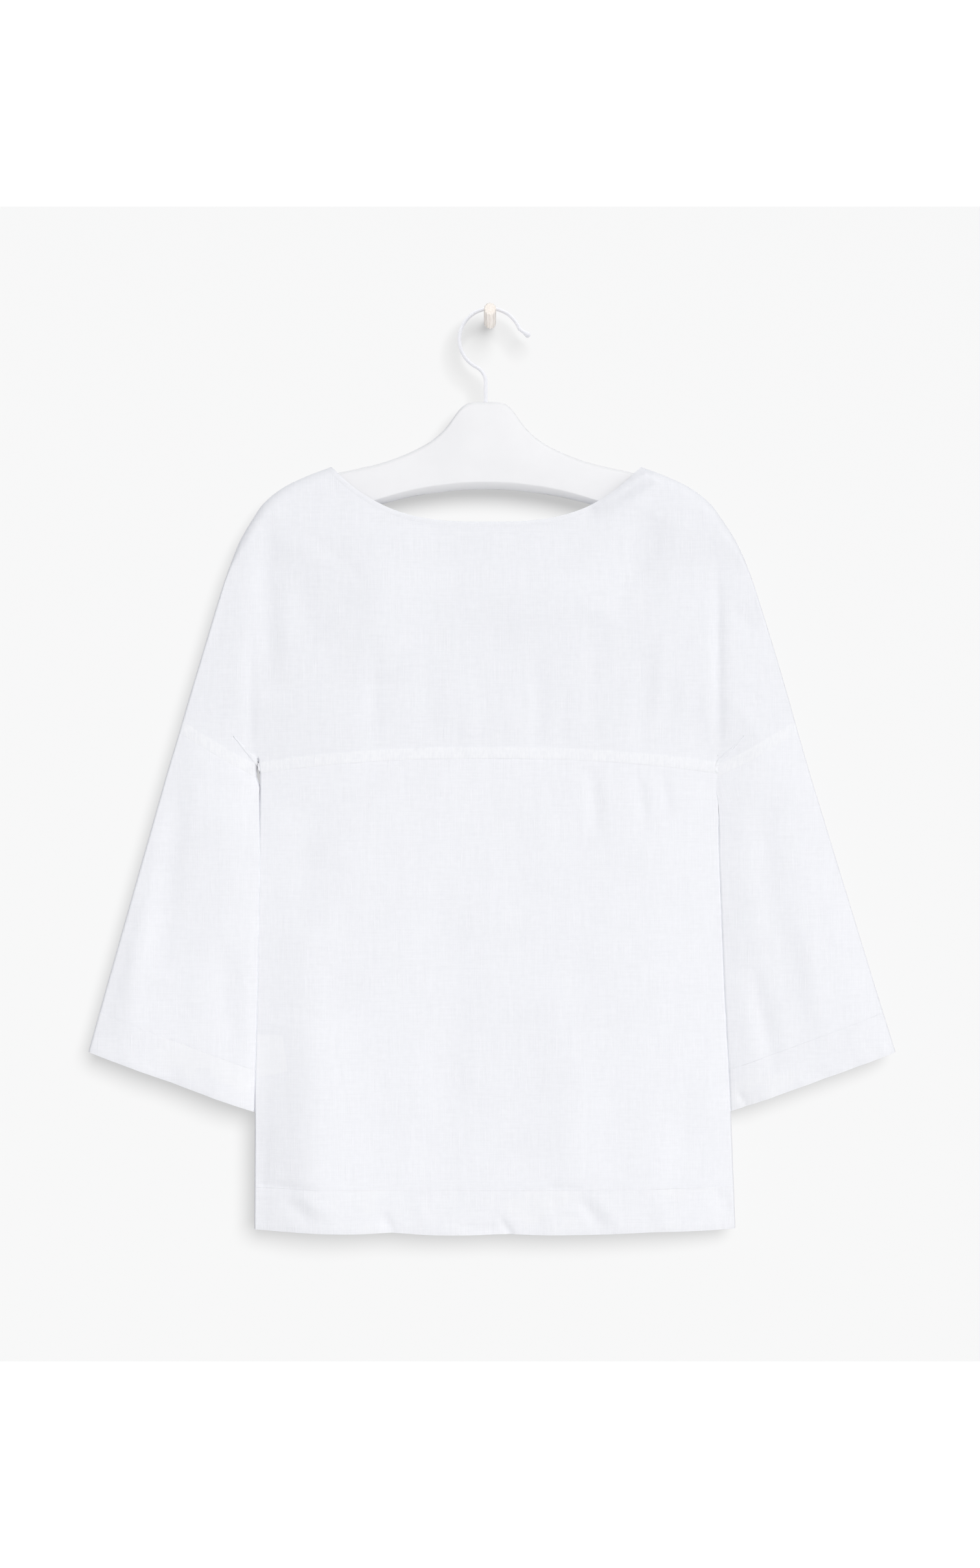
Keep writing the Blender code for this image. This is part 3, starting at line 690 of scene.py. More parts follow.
def make_body(name, side, columns, rows, finish):
    x, z = body_grid(columns, rows)
    share = np.clip(x / side_width(z), -1.0, 1.0)
    away = z - hem_top(share)
    if side == NEAR:
        away = np.minimum(yoke_seam(share) - z, away)
    depth = panel_depth(side, -side * x, z) - stitch_dip(away)
    return finish_panel(name, side, x, z, depth, (x, PANEL_AWAY + away), CLOTH, finish)


HEM_ROW_COUNT = 12
HEM_COLUMNS = 220


def make_hem(name, side, finish):
    step, hand = steps_across(BODY_COLUMNS, HEM_COLUMNS)
    share = column_share(step)
    signed = hand * share
    down = np.linspace(0.0, 1.0, HEM_ROW_COUNT + 1)[:, None]
    top, bottom = hem_top(signed) - 0.5 * SEAM_GAP, hem_bottom(-side * signed)
    z = mix(top, bottom, down)
    x = signed * side_width(z)
    below, above = top - z, z - bottom
    depth = panel_depth(side, -side * x, z) + PROUD - stitch_dip(below) - hem_turn(above)
    return finish_panel(name, side, x, z, depth, (x, TURNED_AWAY + below), HEM_CLOTH, finish)


# Sleeves and cuffs are tubes: over the near side and back round the far side.
sleeve_length = math.hypot(CUFF_OUTER[0] - SEAM_OUTER[0], CUFF_OUTER[1] - SEAM_OUTER[1])
cuff_start = 1.0 - CUFF_DEPTH / sleeve_length
SLEEVE_HALF = 48
SLEEVE_ROWS = 104
SLEEVE_END_ROWS = (0.5, 1.1, 2.0)
# The far side of a tube reads another stretch of the weave.
FAR_WEAVE_START = 1000.0


def sleeve_edges(hand, along):
    run, rise = SEAM_OUTER[0] - SEAM_INNER[0], SEAM_OUTER[1] - SEAM_INNER[1]
    length = math.hypot(run, rise)
    gap_x, gap_z = SEAM_GAP * rise / length, -SEAM_GAP * run / length
    outer = (mix(SEAM_OUTER[0] + gap_x, CUFF_OUTER[0], along),
             mix(SEAM_OUTER[1] + gap_z, CUFF_OUTER[1], along))
    inner_z = mix(SEAM_INNER[1] + gap_z, CUFF_INNER_Z, along)
    inner_x = gap_x + look_up(LEFT_INNER if hand < 0 else RIGHT_INNER, inner_z)
    return outer, (inner_x, inner_z)


def make_tube(name, hand, along, extra, seam_away, wall, finish):
    # along runs from 0 at the sleeve seam to 1 at the cuff's end.
    column = np.arange(2 * SLEEVE_HALF + 1)
    side = np.where(column <= SLEEVE_HALF, NEAR, FAR)
    step = np.where(column <= SLEEVE_HALF, column, 2 * SLEEVE_HALF - column)
    across = 0.5 - 0.5 * np.cos(math.pi * step / SLEEVE_HALF)
    along = along[:, None] + 0.0 * across
    outer, inner = sleeve_edges(hand, along)
    left, right = (outer, inner) if hand < 0 else (inner, outer)
    x, z = hand * mix(left[0], right[0], across), mix(left[1], right[1], across)
    width = np.hypot(outer[0] - inner[0], outer[1] - inner[1])
    from_inner = (1.0 - across if hand < 0 else across) * width
    edge = np.minimum(width - from_inner, from_inner) + right_slit_shut(x, z)
    full = SLEEVE_DEPTH + CUFF_DEPTH_GAIN * along
    rise = extra(along)
    if hand < 0:
        lean = (1.0 - ease(from_inner / LEFT_LEAN_REACH)) * ease(along / LEFT_LEAN_WHOLE_AT)
        rise = rise + LEFT_LEAN * lean
    near_side = side == NEAR
    folds = np.where(near_side, folds_at(NEAR, x, z), folds_at(FAR, x, z))
    creases = np.where(near_side, creases_at(NEAR, x, z), creases_at(FAR, x, z))
    depth = stand_off(edge, EDGE_DEPTH, full, SLEEVE_REACH, 0.0, folds, creases)
    depth = np.maximum(depth + rise * quarter(edge / EDGE_RADIUS), 0.0)
    hung = hang(side, x, z, depth)
    weave = (np.where(near_side, x, FAR_WEAVE_START - x), z)
    seam = (across * width, seam_away(along))
    return cloth_piece(name, *hung, weave, seam, wall, finish, welded=True)


def make_sleeve(side_name, hand, finish):
    even = np.linspace(0.0, cuff_start - 0.5 * SEAM_GAP / sleeve_length, SLEEVE_ROWS)
    close = np.array(SLEEVE_END_ROWS) / sleeve_length
    along = np.sort(np.concatenate([even, close, cuff_start - close]))

    def extra(place):
        top, bottom = place * sleeve_length, (cuff_start - place) * sleeve_length
        return -stitch_dip(top) - stitch_dip(bottom)

    def away(place):
        return PANEL_AWAY + (cuff_start - place) * sleeve_length

    return make_tube(f"cloth_{side_name}_sleeve", hand, along, extra, away, CLOTH, finish)


def make_cuff(side_name, hand, finish):
    along = np.linspace(cuff_start + 0.5 * SEAM_GAP / sleeve_length, 1.0, HEM_ROW_COUNT + 1)

    def extra(place):
        below, above = (place - cuff_start) * sleeve_length, (1.0 - place) * sleeve_length
        return PROUD - stitch_dip(below) - hem_turn(above)

    def away(place):
        return TURNED_AWAY + (place - cuff_start) * sleeve_length

    return make_tube(f"cloth_{side_name}_cuff", hand, along, extra, away, HEM_CLOTH, finish)


BINDING_HALF = 120
BINDING_ROWS = 6
BINDING_PROUD = 0.08
BINDING_ROUND = 0.22


def make_binding(finish):
    column = np.arange(2 * BINDING_HALF + 1)
    near_side = column <= BINDING_HALF
    step = np.where(near_side, column, 2 * BINDING_HALF - column)
    across = np.sin(0.5 * math.pi * (step / (0.5 * BINDING_HALF) - 1.0))
    down = np.linspace(0.0, 1.0, BINDING_ROWS + 1)[:, None]
    back = neck_point(across, BACK_NECK, BINDING_WIDTH * down)
    front = neck_point(across, FRONT_NECK, BINDING_WIDTH * down)
    x, z = np.where(near_side, back[0], front[0]), np.where(near_side, back[1], front[1])
    depth = np.where(near_side, panel_depth(NEAR, x, z), panel_depth(FAR, x, z))
    edge = line_distance(np.abs(x), z, shoulder_edge)
    round_off = BINDING_ROUND * (1.0 - (2.0 * down - 1.0) ** 2)
    depth = depth + (BINDING_PROUD + round_off) * quarter(edge / EDGE_RADIUS)
    hung = hang(np.where(near_side, NEAR, FAR), x, z, depth)
    along = step * 2.0 * NECK_HALF_WIDTH / BINDING_HALF + 0.0 * x
    weave = (along, BINDING_WIDTH * down + 0.0 * x)
    seam = (along, TURNED_AWAY + BINDING_WIDTH * (1.0 - down) + 0.0 * x)
    return cloth_piece("cloth_neck_binding", *hung, weave, seam, BINDING_CLOTH, finish, welded=True)


# Hanger: upright sections along its length, each with a rounded top and a sloping underside.
HANGER_X = -4.2
HANGER_TOP_ROUND = 4.8
HANGER_TOP_TURN = (0.0, 12.0, 26.0, 42.0, 58.0, 74.0, 90.0)
# Lower part of a section: shares of its half thickness and of the underside's height.
HANGER_LOW_HALF = (1.0, 0.985, 0.93, 0.20, 0.08)
HANGER_LOW_DROP = (-0.12, 0.0, 0.12, 0.92, 1.0)
Section = namedtuple("Section", "x top bottom half_thickness underside")
HANGER = (
    Section(0.0, -83.2, -161.1, 6.0, 6.7),
    Section(10.0, -83.2, -161.2, 6.0, 6.7),
    Section(15.4, -83.9, -161.4, 6.0, 6.7),
    Section(19.8, -85.6, -161.6, 6.0, 6.7),
    Section(23.8, -88.6, -161.8, 6.0, 6.7),
    Section(27.2, -92.6, -162.1, 6.0, 6.7),
    Section(31.5, -98.4, -162.5, 6.0, 6.7),
    Section(37.0, -106.0, -163.2, 6.0, 6.6),
    Section(45.0, -114.6, -164.3, 6.0, 6.6),
    Section(57.0, -123.6, -166.0, 6.0, 6.4),
    Section(75.3, -132.9, -169.7, 6.0, 6.0),
    Section(92.0, -139.3, -174.2, 6.0, 5.6),
    Section(109.0, -144.4, -179.3, 6.0, 5.0),
    Section(144.0, -152.2, -188.6, 5.8, 4.4),
    Section(172.0, -158.2, -196.0, 5.6, 4.0),
    Section(184.0, -161.6, -199.0, 5.5, 3.8),
    Section(192.0, -165.7, -200.5, 5.4, 3.6),
    Section(201.0, -171.6, -201.5, 5.0, 3.0),
    Section(205.5, -178.5, -197.5, 3.6, 1.6),
)
HANGER_STEPS = 5
SOLID_SMOOTH_ANGLE = 35.0


def ring_piece(name, x, y, z, finish):
    # A closed solid from rings of points, one ring to a row; both ends are filled.
    rows, columns = x.shape[0] - 1, x.shape[1] - 1
    made = new_grid(name, columns, rows)
    points = np.stack([a[::-1].ravel() for a in (x, y, z)], axis=1) * MM
    made.data.vertices.foreach_set("co", points.ravel().astype(np.float32))
    made.data.update()
    bpy.ops.object.mode_set(mode="EDIT")
    bpy.ops.mesh.select_all(action="SELECT")
    bpy.ops.mesh.remove_doubles(threshold=MERGE * MM)
    bpy.ops.mesh.select_all(action="SELECT")
    bpy.ops.mesh.fill_holes(sides=0)
    bpy.ops.mesh.select_all(action="SELECT")
    bpy.ops.mesh.normals_make_consistent(inside=False)
    bpy.ops.object.mode_set(mode="OBJECT")
    bpy.ops.object.shade_smooth_by_angle(angle=math.radians(SOLID_SMOOTH_ANGLE))
    made.data.materials.clear()
    made.data.materials.append(finish)
    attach(made, "root")
    return made


def make_hanger(finish):
    right = np.array(HANGER)
    left = right[:0:-1] * (-1.0, 1.0, 1.0, 1.0, 1.0)
    sections = smooth_sections(np.vstack([left, right]))
    s_x, top, bottom, half, under = (sections[:, k][:, None] for k in range(5))
    turn = np.radians(HANGER_TOP_TURN)
    round_y = np.sin(turn) * half
    round_z = top - HANGER_TOP_ROUND * (1.0 - np.cos(turn))
    low_y = half * np.array(HANGER_LOW_HALF)
    low_z = bottom - under * np.array(HANGER_LOW_DROP)
    y = np.hstack([round_y, low_y, -low_y[:, ::-1], -round_y[:, :0:-1], round_y[:, :1]])
    z = np.hstack([round_z, low_z, low_z[:, ::-1], round_z[:, :0:-1], round_z[:, :1]])
    x = HANGER_X + s_x + 0.0 * y
    return ring_piece("moulded_hanger", x, PLANE_Y + y, z, finish)


def smooth_sections(sections):
    parts = [smooth_line(np.stack([sections[:, 0], sections[:, k]], axis=1), HANGER_STEPS)
             for k in range(1, 5)]
    return np.column_stack([parts[0][:, 0]] + [part[:, 1] for part in parts])


# Wire hook: a round crook, a short bend back and a straight shank into the plate.
WIRE_RADIUS = 1.8
WIRE_SIDES = 20
CROOK_RADIUS = 30.0
CROOK_X = 0.3
CROOK_START = 20.0
CROOK_END = 243.0
CROOK_STEPS = 90
CURL_STEPS = 20
FLICK_STEPS = 5
SHANK_ABOVE = 4.0
SHANK_INTO = 1.5
FLICK_X = 33.9
FLICK_Z = -15.6
TIP_RADIUS = 2.9
CONTACT_GAP = 0.3
PEG_RADIUS = 5.9


def hook_line():
    centre_z = PEG_RADIUS + CONTACT_GAP + WIRE_RADIUS - CROOK_RADIUS
    turn = np.radians(np.linspace(CROOK_START, CROOK_END, CROOK_STEPS))
    crook = np.stack([CROOK_X + CROOK_RADIUS * np.cos(turn),
                      centre_z + CROOK_RADIUS * np.sin(turn)], axis=1)
    leave = math.radians(CROOK_END)
    bend = (HANGER_X - crook[-1, 0]) / (1.0 + math.cos(leave))
    pivot = crook[-1] + bend * np.array([math.cos(leave), math.sin(leave)])
    back = np.linspace(leave - math.pi, 0.0, CURL_STEPS)[1:]
    curl = pivot + bend * np.stack([np.cos(back), np.sin(back)], axis=1)
    flick = np.array([[FLICK_X, FLICK_Z]])
    start = mix(flick, crook[:1], np.linspace(0.0, 1.0, FLICK_STEPS)[:-1, None])
    plate_top = hanger_high[2] / MM
    shank = np.array([[HANGER_X, plate_top + SHANK_ABOVE], [HANGER_X, plate_top - SHANK_INTO]])
    return np.vstack([start, crook, curl, shank])


def make_hook(finish):
    line = hook_line()
    ahead = np.gradient(line, axis=0)
    ahead /= np.linalg.norm(ahead, axis=1)[:, None]
    side = np.stack([ahead[:, 1], -ahead[:, 0]], axis=1)
    turn = np.linspace(0.0, 2.0 * math.pi, WIRE_SIDES + 1)
    x = line[:, :1] + WIRE_RADIUS * np.cos(turn) * side[:, :1]
    z = line[:, 1:] + WIRE_RADIUS * np.cos(turn) * side[:, 1:]
    y = PLANE_Y + WIRE_RADIUS * np.sin(turn) + 0.0 * x
    return ring_piece("wire_hook", x, y, z, finish)


# A dipped bead on the wire's end, in radii of the bead: a short collar and a round end.
TIP_COLLAR = [(-1.35, 0.63), (-1.2, 0.7), (-0.85, 0.86)]
TIP_ROUND_START = -35.0
TIP_ROUND_END = 88.0
TIP_ROUND_STEPS = 14


def make_tip(finish):
    line = hook_line()
    out = line[0] - line[1]
    out /= np.linalg.norm(out)
    across = np.array([out[1], -out[0]])
    along = TIP_RADIUS + CONTACT_GAP
    around = np.linspace(0.0, 2.0 * math.pi, WIRE_SIDES + 1)
    turn = np.radians(np.linspace(TIP_ROUND_START, TIP_ROUND_END, TIP_ROUND_STEPS))
    profile = TIP_COLLAR + [(math.sin(angle), math.cos(angle)) for angle in turn]
    reach, radius = (np.array(part)[:, None] * TIP_RADIUS for part in zip(*profile))
    centre = line[0] + along * out
    x = centre[0] + reach * out[0] + radius * np.cos(around) * across[0]
    z = centre[1] + reach * out[1] + radius * np.cos(around) * across[1]
    y = PLANE_Y + radius * np.sin(around) + 0.0 * x
    return ring_piece("hook_tip_bead", x, y, z, finish)


# Wooden peg with shallow flutes, which run out in its rounded end.
PEG_FLUTE = 0.45
PEG_FLUTES = 12
PEG_FLUTE_LOSS = 0.6
PEG_LENGTH = 60.0
PEG_RINGS = [0.0, 20.0, 40.0]
PEG_ROUND = 1.6
PEG_ROUND_STEPS = 8
PEG_SIDES = 144


def make_peg(finish):
    around = np.linspace(0.0, 2.0 * math.pi, PEG_SIDES + 1)
    groove = PEG_FLUTE * (0.5 - 0.5 * np.cos(PEG_FLUTES * around)) ** 2
    turn = np.radians(np.linspace(0.0, 90.0, PEG_ROUND_STEPS))
    out = PEG_RINGS + list(PEG_LENGTH - PEG_ROUND * (1.0 - np.sin(turn)))
    inset = [0.0] * len(PEG_RINGS) + list(PEG_ROUND * (1.0 - np.cos(turn)))
    out, inset = np.array(out)[:, None], np.array(inset)[:, None]
    radius = PEG_RADIUS - groove * (1.0 - inset / PEG_ROUND * PEG_FLUTE_LOSS) - inset
    return ring_piece("fluted_peg", radius * np.sin(around), -out + 0.0 * radius,
                      radius * np.cos(around), finish)


# Blank care label, caught in the side seam inside the body.
LABEL_WIDTH = 28.0
LABEL_HEIGHT = 40.0
LABEL_CLOTH = 0.5
LABEL_Z = -717.5
LABEL_LEAN = 5.0
LABEL_CURL = 0.5
LABEL_SEAM_GAP = 1.5
LABEL_COLUMNS = 24
LABEL_ROWS = 30


def make_label(finish):
    across = np.linspace(0.0, 1.0, LABEL_COLUMNS + 1)
    down = np.linspace(0.0, 1.0, LABEL_ROWS + 1)[:, None]
    z = LABEL_Z + (0.5 - down) * LABEL_HEIGHT + 0.0 * across
    x = LABEL_SEAM_GAP + across * LABEL_WIDTH - side_width(z)
    curl = LABEL_CURL * np.sin(math.pi * down) * across
    depth = 0.5 * LABEL_CLOTH + LABEL_LEAN * across ** 2 + curl
    hung = hang(NEAR, x, z, depth)
    seam = (x, PANEL_AWAY + 0.0 * x)
    return cloth_piece("cloth_care_label", *hung, (x, z), seam, LABEL_CLOTH, finish)


# Shader maths: an expression on values adds its Math nodes.
class Value:
    def __init__(self, kit, socket):
        self.kit = kit
        self.socket = socket

    def maths(self, operation, *values):
        return self.kit.add("ShaderNodeMath", {"operation": operation}, dict(enumerate(values)))

    def __add__(self, other):
        return self.maths("ADD", self, other)

    __radd__ = __add__

    def __sub__(self, other):
        return self.maths("SUBTRACT", self, other)

    def __rsub__(self, other):
        return self.maths("SUBTRACT", other, self)

    def __mul__(self, other):
        return self.maths("MULTIPLY", self, other)

    __rmul__ = __mul__

    def __truediv__(self, other):
        return self.maths("DIVIDE", self, other)

    def sine(self):
        return self.maths("SINE", self)

    def size(self):
        return self.maths("ABSOLUTE", self)

    def between(self, low, high):
        # 0 below low, 1 above high and smooth between them.
        settings = {"interpolation_type": "SMOOTHSTEP"}
        values = {"Value": self, "From Min": low, "From Max": high}
        return self.kit.add("ShaderNodeMapRange", settings, values)


class Kit:
    # A material under construction.
    def __init__(self, name, constants):
        self.material = bpy.data.materials.new(name)
        self.material.use_nodes = True
        self.nodes = self.material.node_tree.nodes
        self.links = self.material.node_tree.links
        self.shader = self.nodes["Principled BSDF"]
        for socket, value in constants.items():
            self.shader.inputs[socket].default_value = value

    def put(self, socket, value):
        if isinstance(value, Value):
            self.links.new(value.socket, socket)
        else:
            socket.default_value = value

    def add(self, kind, settings=None, values=None, output=0):
        node = self.nodes.new(kind)
        for name, setting in (settings or {}).items():
            setattr(node, name, setting)
        for name, value in (values or {}).items():
            self.put(node.inputs[name], value)
        return Value(self, node.outputs[output])

    def uv(self, name):
        return self.add("ShaderNodeUVMap", {"uv_map": name})

    def place(self):
        return self.add("ShaderNodeTexCoord", output="Object")

    def parts(self, vector):
        split = self.add("ShaderNodeSeparateXYZ", None, {0: vector}).socket.node
        return [Value(self, output) for output in split.outputs]

    def join(self, x, y, z):
        return self.add("ShaderNodeCombineXYZ", None, {0: x, 1: y, 2: z})

    def noise(self, vector, scale, detail=2.0, roughness=0.5):
        values = {"Vector": vector, "Scale": scale, "Detail": detail, "Roughness": roughness}
        return self.add("ShaderNodeTexNoise", None, values)

    def blend(self, share, first, second):
        values = {"Factor": share, 6: first, 7: second}
        return self.add("ShaderNodeMix", {"data_type": "RGBA"}, values, output=2)

    def bump(self, height, distance, strength):
        values = {"Height": height, "Distance": distance, "Strength": strength}
        return self.add("ShaderNodeBump", None, values)

    def done(self, **values):
        for name, value in values.items():
            self.put(self.shader.inputs[name], value)
        return self.material


# Plain weave, read on the cloth's own map in metres: sizes of the thread, of its thick places
# and of streaks, and noise scales of what is uneven over a wider stretch.
THREAD = 0.0008
SLUB_LENGTH = 0.03
SLUB_WIDTH = 0.0011
SLUB_RANGE = (0.62, 0.78)
STREAK_WIDTH = 0.006
STREAK_LENGTH = 0.07
WOBBLE_SCALE = 260.0
WOBBLE = 0.5
MOTTLE_SCALE = 210.0
CLOUD_SCALE = 24.0
# Shares of each in the cloth's tone, and the range of tone from dark to light.
THREAD_TONE = 0.24
MOTTLE_TONE = 0.24
STREAK_TONE = 0.14
CLOUD_TONE = 0.14
SLUB_TONE = 0.08
TONE_RANGE = (0.34, 0.66)
# Shares of each in the cloth's height.
WEAVE_HEIGHT = 0.55
UNEVEN_HEIGHT = 0.9
THREAD_BUMP = 0.4
SLUB_BUMP = 0.5
CLOTH_RELIEF = 0.00035
CLOTH_BUMP = 0.5
# The doubled cloth beside a seam, in millimetres from it, with a ragged end and stitched rows.
BAND_END = (11.0, 12.8)
BAND_RAGGED = 2.2
BAND_RAGGED_SCALE = 0.33
STITCH_ALONG = 0.55
STITCH_AWAY = 0.12
STITCH_RANGE = (0.35, 0.65)
BAND_FLOOR = 0.4
# Pressed patches on turned cloth.
PRESSED_SCALE = 19.0
PRESSED_STRETCH = 0.7
PRESSED_RANGE = (0.5, 0.62)
# The care label shows faintly through the cloth in front of it.
LABEL_GHOST = 0.3
LABEL_GHOST_TOP = -696.8
LABEL_GHOST_RIGHT = -200.4
LABEL_GHOST_LOW = -732.5
LABEL_GHOST_SLANT = 0.16
LABEL_GHOST_RISE = 0.22
LABEL_GHOST_BLUR = 0.8
MM_PER_M = 1000.0
WHITE_CLOTH = (0.98, 0.985, 1.0, 1.0)
PRESSED_CLOTH = (1.0, 1.0, 0.985, 1.0)


def linen(name, light, dark, band=0.0, over_label=False, pressed=0.0):
    # Plain weave with uneven threads. The band is the share by which doubled cloth is lighter.
    # The last number of each place picks the slice of noise that is read there.
    kit = Kit(name, {"Roughness": 0.92, "Specular IOR Level": 0.2, "Sheen Weight": 0.04})
    u, v, _ = kit.parts(kit.uv("Weave"))
    warp_line = kit.noise(kit.join(u / THREAD, v / SLUB_LENGTH, 0.0), 1.0, 1.0)
    weft_line = kit.noise(kit.join(u / SLUB_LENGTH, v / THREAD, 7.0), 1.0, 1.0)
    thick = kit.noise(kit.join(u / SLUB_WIDTH, v / SLUB_LENGTH, 19.0), 1.0, 0.0)
    slub = thick.between(*SLUB_RANGE)
    wobble = kit.noise(kit.join(u, v, 3.0), WOBBLE_SCALE, 1.0)
    warp = ((u / THREAD + WOBBLE * wobble) * math.pi).sine().size()
    weft = ((v / THREAD + WOBBLE * wobble) * math.pi).sine().size()
    threads = WEAVE_HEIGHT * warp * weft + UNEVEN_HEIGHT * warp_line + UNEVEN_HEIGHT * weft_line
    streak = kit.noise(kit.join(u / STREAK_WIDTH, v / STREAK_LENGTH, 11.0), 1.0, 2.0, 0.6)
    mottle = kit.noise(kit.join(u, v, 0.0), MOTTLE_SCALE, 3.0, 0.6)
    cloud = kit.noise(kit.join(u, v, 5.0), CLOUD_SCALE, 2.0)
    share = THREAD_TONE * (warp_line + weft_line) + MOTTLE_TONE * mottle + STREAK_TONE * streak
    share = share + CLOUD_TONE * cloud + SLUB_TONE * slub
    colour = kit.blend(share.between(*TONE_RANGE), dark, light)
    if band:
        colour = kit.blend(doubled_cloth(kit) * band, colour, WHITE_CLOTH)
    if pressed:
        patch = kit.noise(kit.join(u * PRESSED_STRETCH, v, 2.0), PRESSED_SCALE, 2.0, 0.6)
        colour = kit.blend(patch.between(*PRESSED_RANGE) * pressed, colour, PRESSED_CLOTH)
    if over_label:
        colour = kit.blend(before_label(kit) * LABEL_GHOST, colour, WHITE_CLOTH)
    normal = kit.bump(THREAD_BUMP * threads + SLUB_BUMP * slub, CLOTH_RELIEF, CLOTH_BUMP)
    return kit.done(**{"Base Color": colour, "Normal": normal})


def doubled_cloth(kit):
    # How white the doubled cloth beside a seam is: uneven along its stitches, none beyond its end.
    along, away, _ = kit.parts(kit.uv("Seam"))
    along, away = along * MM_PER_M, away * MM_PER_M
    stitched = kit.noise(kit.join(along * STITCH_ALONG, away * STITCH_AWAY, 0.0), 1.0, 2.0)
    ragged = kit.noise(kit.join(along, 0.0, 0.0), BAND_RAGGED_SCALE, 2.0)
    doubled = 1.0 - (away + BAND_RAGGED * ragged).between(*BAND_END)
    return doubled * (BAND_FLOOR + stitched.between(*STITCH_RANGE))


def before_label(kit):
    # 1 on the near cloth that hangs in front of the label, whose shape leans a little.
    x, y, z = (value * MM_PER_M for value in kit.parts(kit.place()))
    right = LABEL_GHOST_RIGHT - LABEL_GHOST_SLANT * (z - LABEL_GHOST_TOP)
    low = LABEL_GHOST_LOW + LABEL_GHOST_RISE * (x - LABEL_GHOST_RIGHT)
    blur = (-LABEL_GHOST_BLUR, LABEL_GHOST_BLUR)
    inside = (right - x).between(*blur) * (LABEL_GHOST_TOP - z).between(*blur)
    return inside * (z - low).between(*blur) * (PLANE_Y - y).between(0.0, 1.0)


# Moulded and painted surfaces: a fine skin over a wide soft change of tone.
SKIN_SCALE = 900.0
SKIN_ROUGHNESS = 0.12
SKIN_RELIEF = 0.00006
SKIN_BUMP = 0.4
PLASTIC_CLOUD_SCALE = 30.0
PLASTIC_CLOUD_RANGE = (0.3, 0.7)


def moulded(name, colour, shade, roughness):
    kit = Kit(name, {"Specular IOR Level": 0.3})
    place = kit.place()
    skin = kit.noise(place, SKIN_SCALE, 2.0)
    cloud = kit.noise(place, PLASTIC_CLOUD_SCALE, 2.0)
    tone = kit.blend(cloud.between(*PLASTIC_CLOUD_RANGE), colour, shade)
    rough = roughness + SKIN_ROUGHNESS * skin
    bump = kit.bump(skin, SKIN_RELIEF, SKIN_BUMP)
    return kit.done(**{"Base Color": tone, "Roughness": rough, "Normal": bump})


# Wood grain and pores, both long in the direction of the peg.
GRAIN_ACROSS = 900.0
GRAIN_ALONG = 40.0
PORE_ACROSS = 3000.0
PORE_ALONG = 200.0
PORE_TONE = 0.25
WOOD_RANGE = (0.35, 0.65)
WOOD_ROUGHNESS = 0.62
PORE_ROUGHNESS = 0.2
GRAIN_RELIEF = 0.0002
GRAIN_BUMP = 0.5


def wooden(name, light, dark):
    kit = Kit(name, {"Specular IOR Level": 0.3})
    x, y, z = kit.parts(kit.place())
    grain = kit.noise(kit.join(x * GRAIN_ACROSS, y * GRAIN_ALONG, z * GRAIN_ACROSS), 1.0, 3.0)
    pores = kit.noise(kit.join(x * PORE_ACROSS, y * PORE_ALONG, z * PORE_ACROSS), 1.0, 1.0)
    share = (1.0 - PORE_TONE) * grain + PORE_TONE * pores
    tone = kit.blend(share.between(*WOOD_RANGE), dark, light)
    rough = WOOD_ROUGHNESS + PORE_ROUGHNESS * pores
    bump = kit.bump(grain, GRAIN_RELIEF, GRAIN_BUMP)
    return kit.done(**{"Base Color": tone, "Roughness": rough, "Normal": bump})


# Colours in pairs: the light and the dark of each cloth and wood, the main tone and the shade of
# each plastic and paint.
BODY_CLOTH = ((0.922, 0.929, 0.964, 1.0), (0.872, 0.879, 0.914, 1.0))
# Painted shade: a copy of the body cloth a shade darker, standing in for the lesser light on the
# back yoke.
YOKE_CLOTH_PAINTED_SHADE = ((0.91, 0.917, 0.952, 1.0), (0.858, 0.866, 0.901, 1.0))
TURNED_CLOTH = ((0.92, 0.927, 0.96, 1.0), (0.868, 0.875, 0.91, 1.0))
LABEL_TAPE = ((0.95, 0.95, 0.95, 1.0), (0.91, 0.91, 0.91, 1.0))
HANGER_WHITE = ((0.90, 0.90, 0.915, 1.0), (0.885, 0.885, 0.90, 1.0))
HOOK_WHITE = ((0.88, 0.88, 0.91, 1.0), (0.86, 0.86, 0.89, 1.0))
TIP_WHITE = ((0.87, 0.87, 0.90, 1.0), (0.85, 0.85, 0.88, 1.0))
PALE_WOOD = ((0.93, 0.88, 0.83, 1.0), (0.85, 0.78, 0.71, 1.0))
SEAM_BAND = 0.34
HEM_PRESSED = 0.13

# The back yoke and the neck binding wear the painted-shade copy of the cloth; the front yoke keeps
# the body's.
yoke_linen = linen("linen_yoke", *YOKE_CLOTH_PAINTED_SHADE, band=SEAM_BAND)
front_yoke_linen = linen("linen_front_yoke", *BODY_CLOTH, band=SEAM_BAND)
body_linen = linen("linen_body", *BODY_CLOTH)
label_linen = linen("linen_over_label", *BODY_CLOTH, over_label=True)
hem_linen = linen("linen_hem", *TURNED_CLOTH, pressed=HEM_PRESSED)
binding_linen = linen("linen_binding", *YOKE_CLOTH_PAINTED_SHADE)
label_satin = linen("label_tape", *LABEL_TAPE)
hanger_plastic = moulded("hanger_plastic", *HANGER_WHITE, roughness=0.45)
hook_paint = moulded("hook_paint", *HOOK_WHITE, roughness=0.55)
tip_plastic = moulded("tip_plastic", *TIP_WHITE, roughness=0.5)
peg_wood = wooden("peg_wood", *PALE_WOOD)

# Columns and rows of each sheet: the side that is seen is the finer one.
BACK_YOKE_GRID = (230, 84)
BACK_PANEL_GRID = (200, 124)
FRONT_YOKE_GRID = (190, 70)
FRONT_PANEL_GRID = (160, 104)

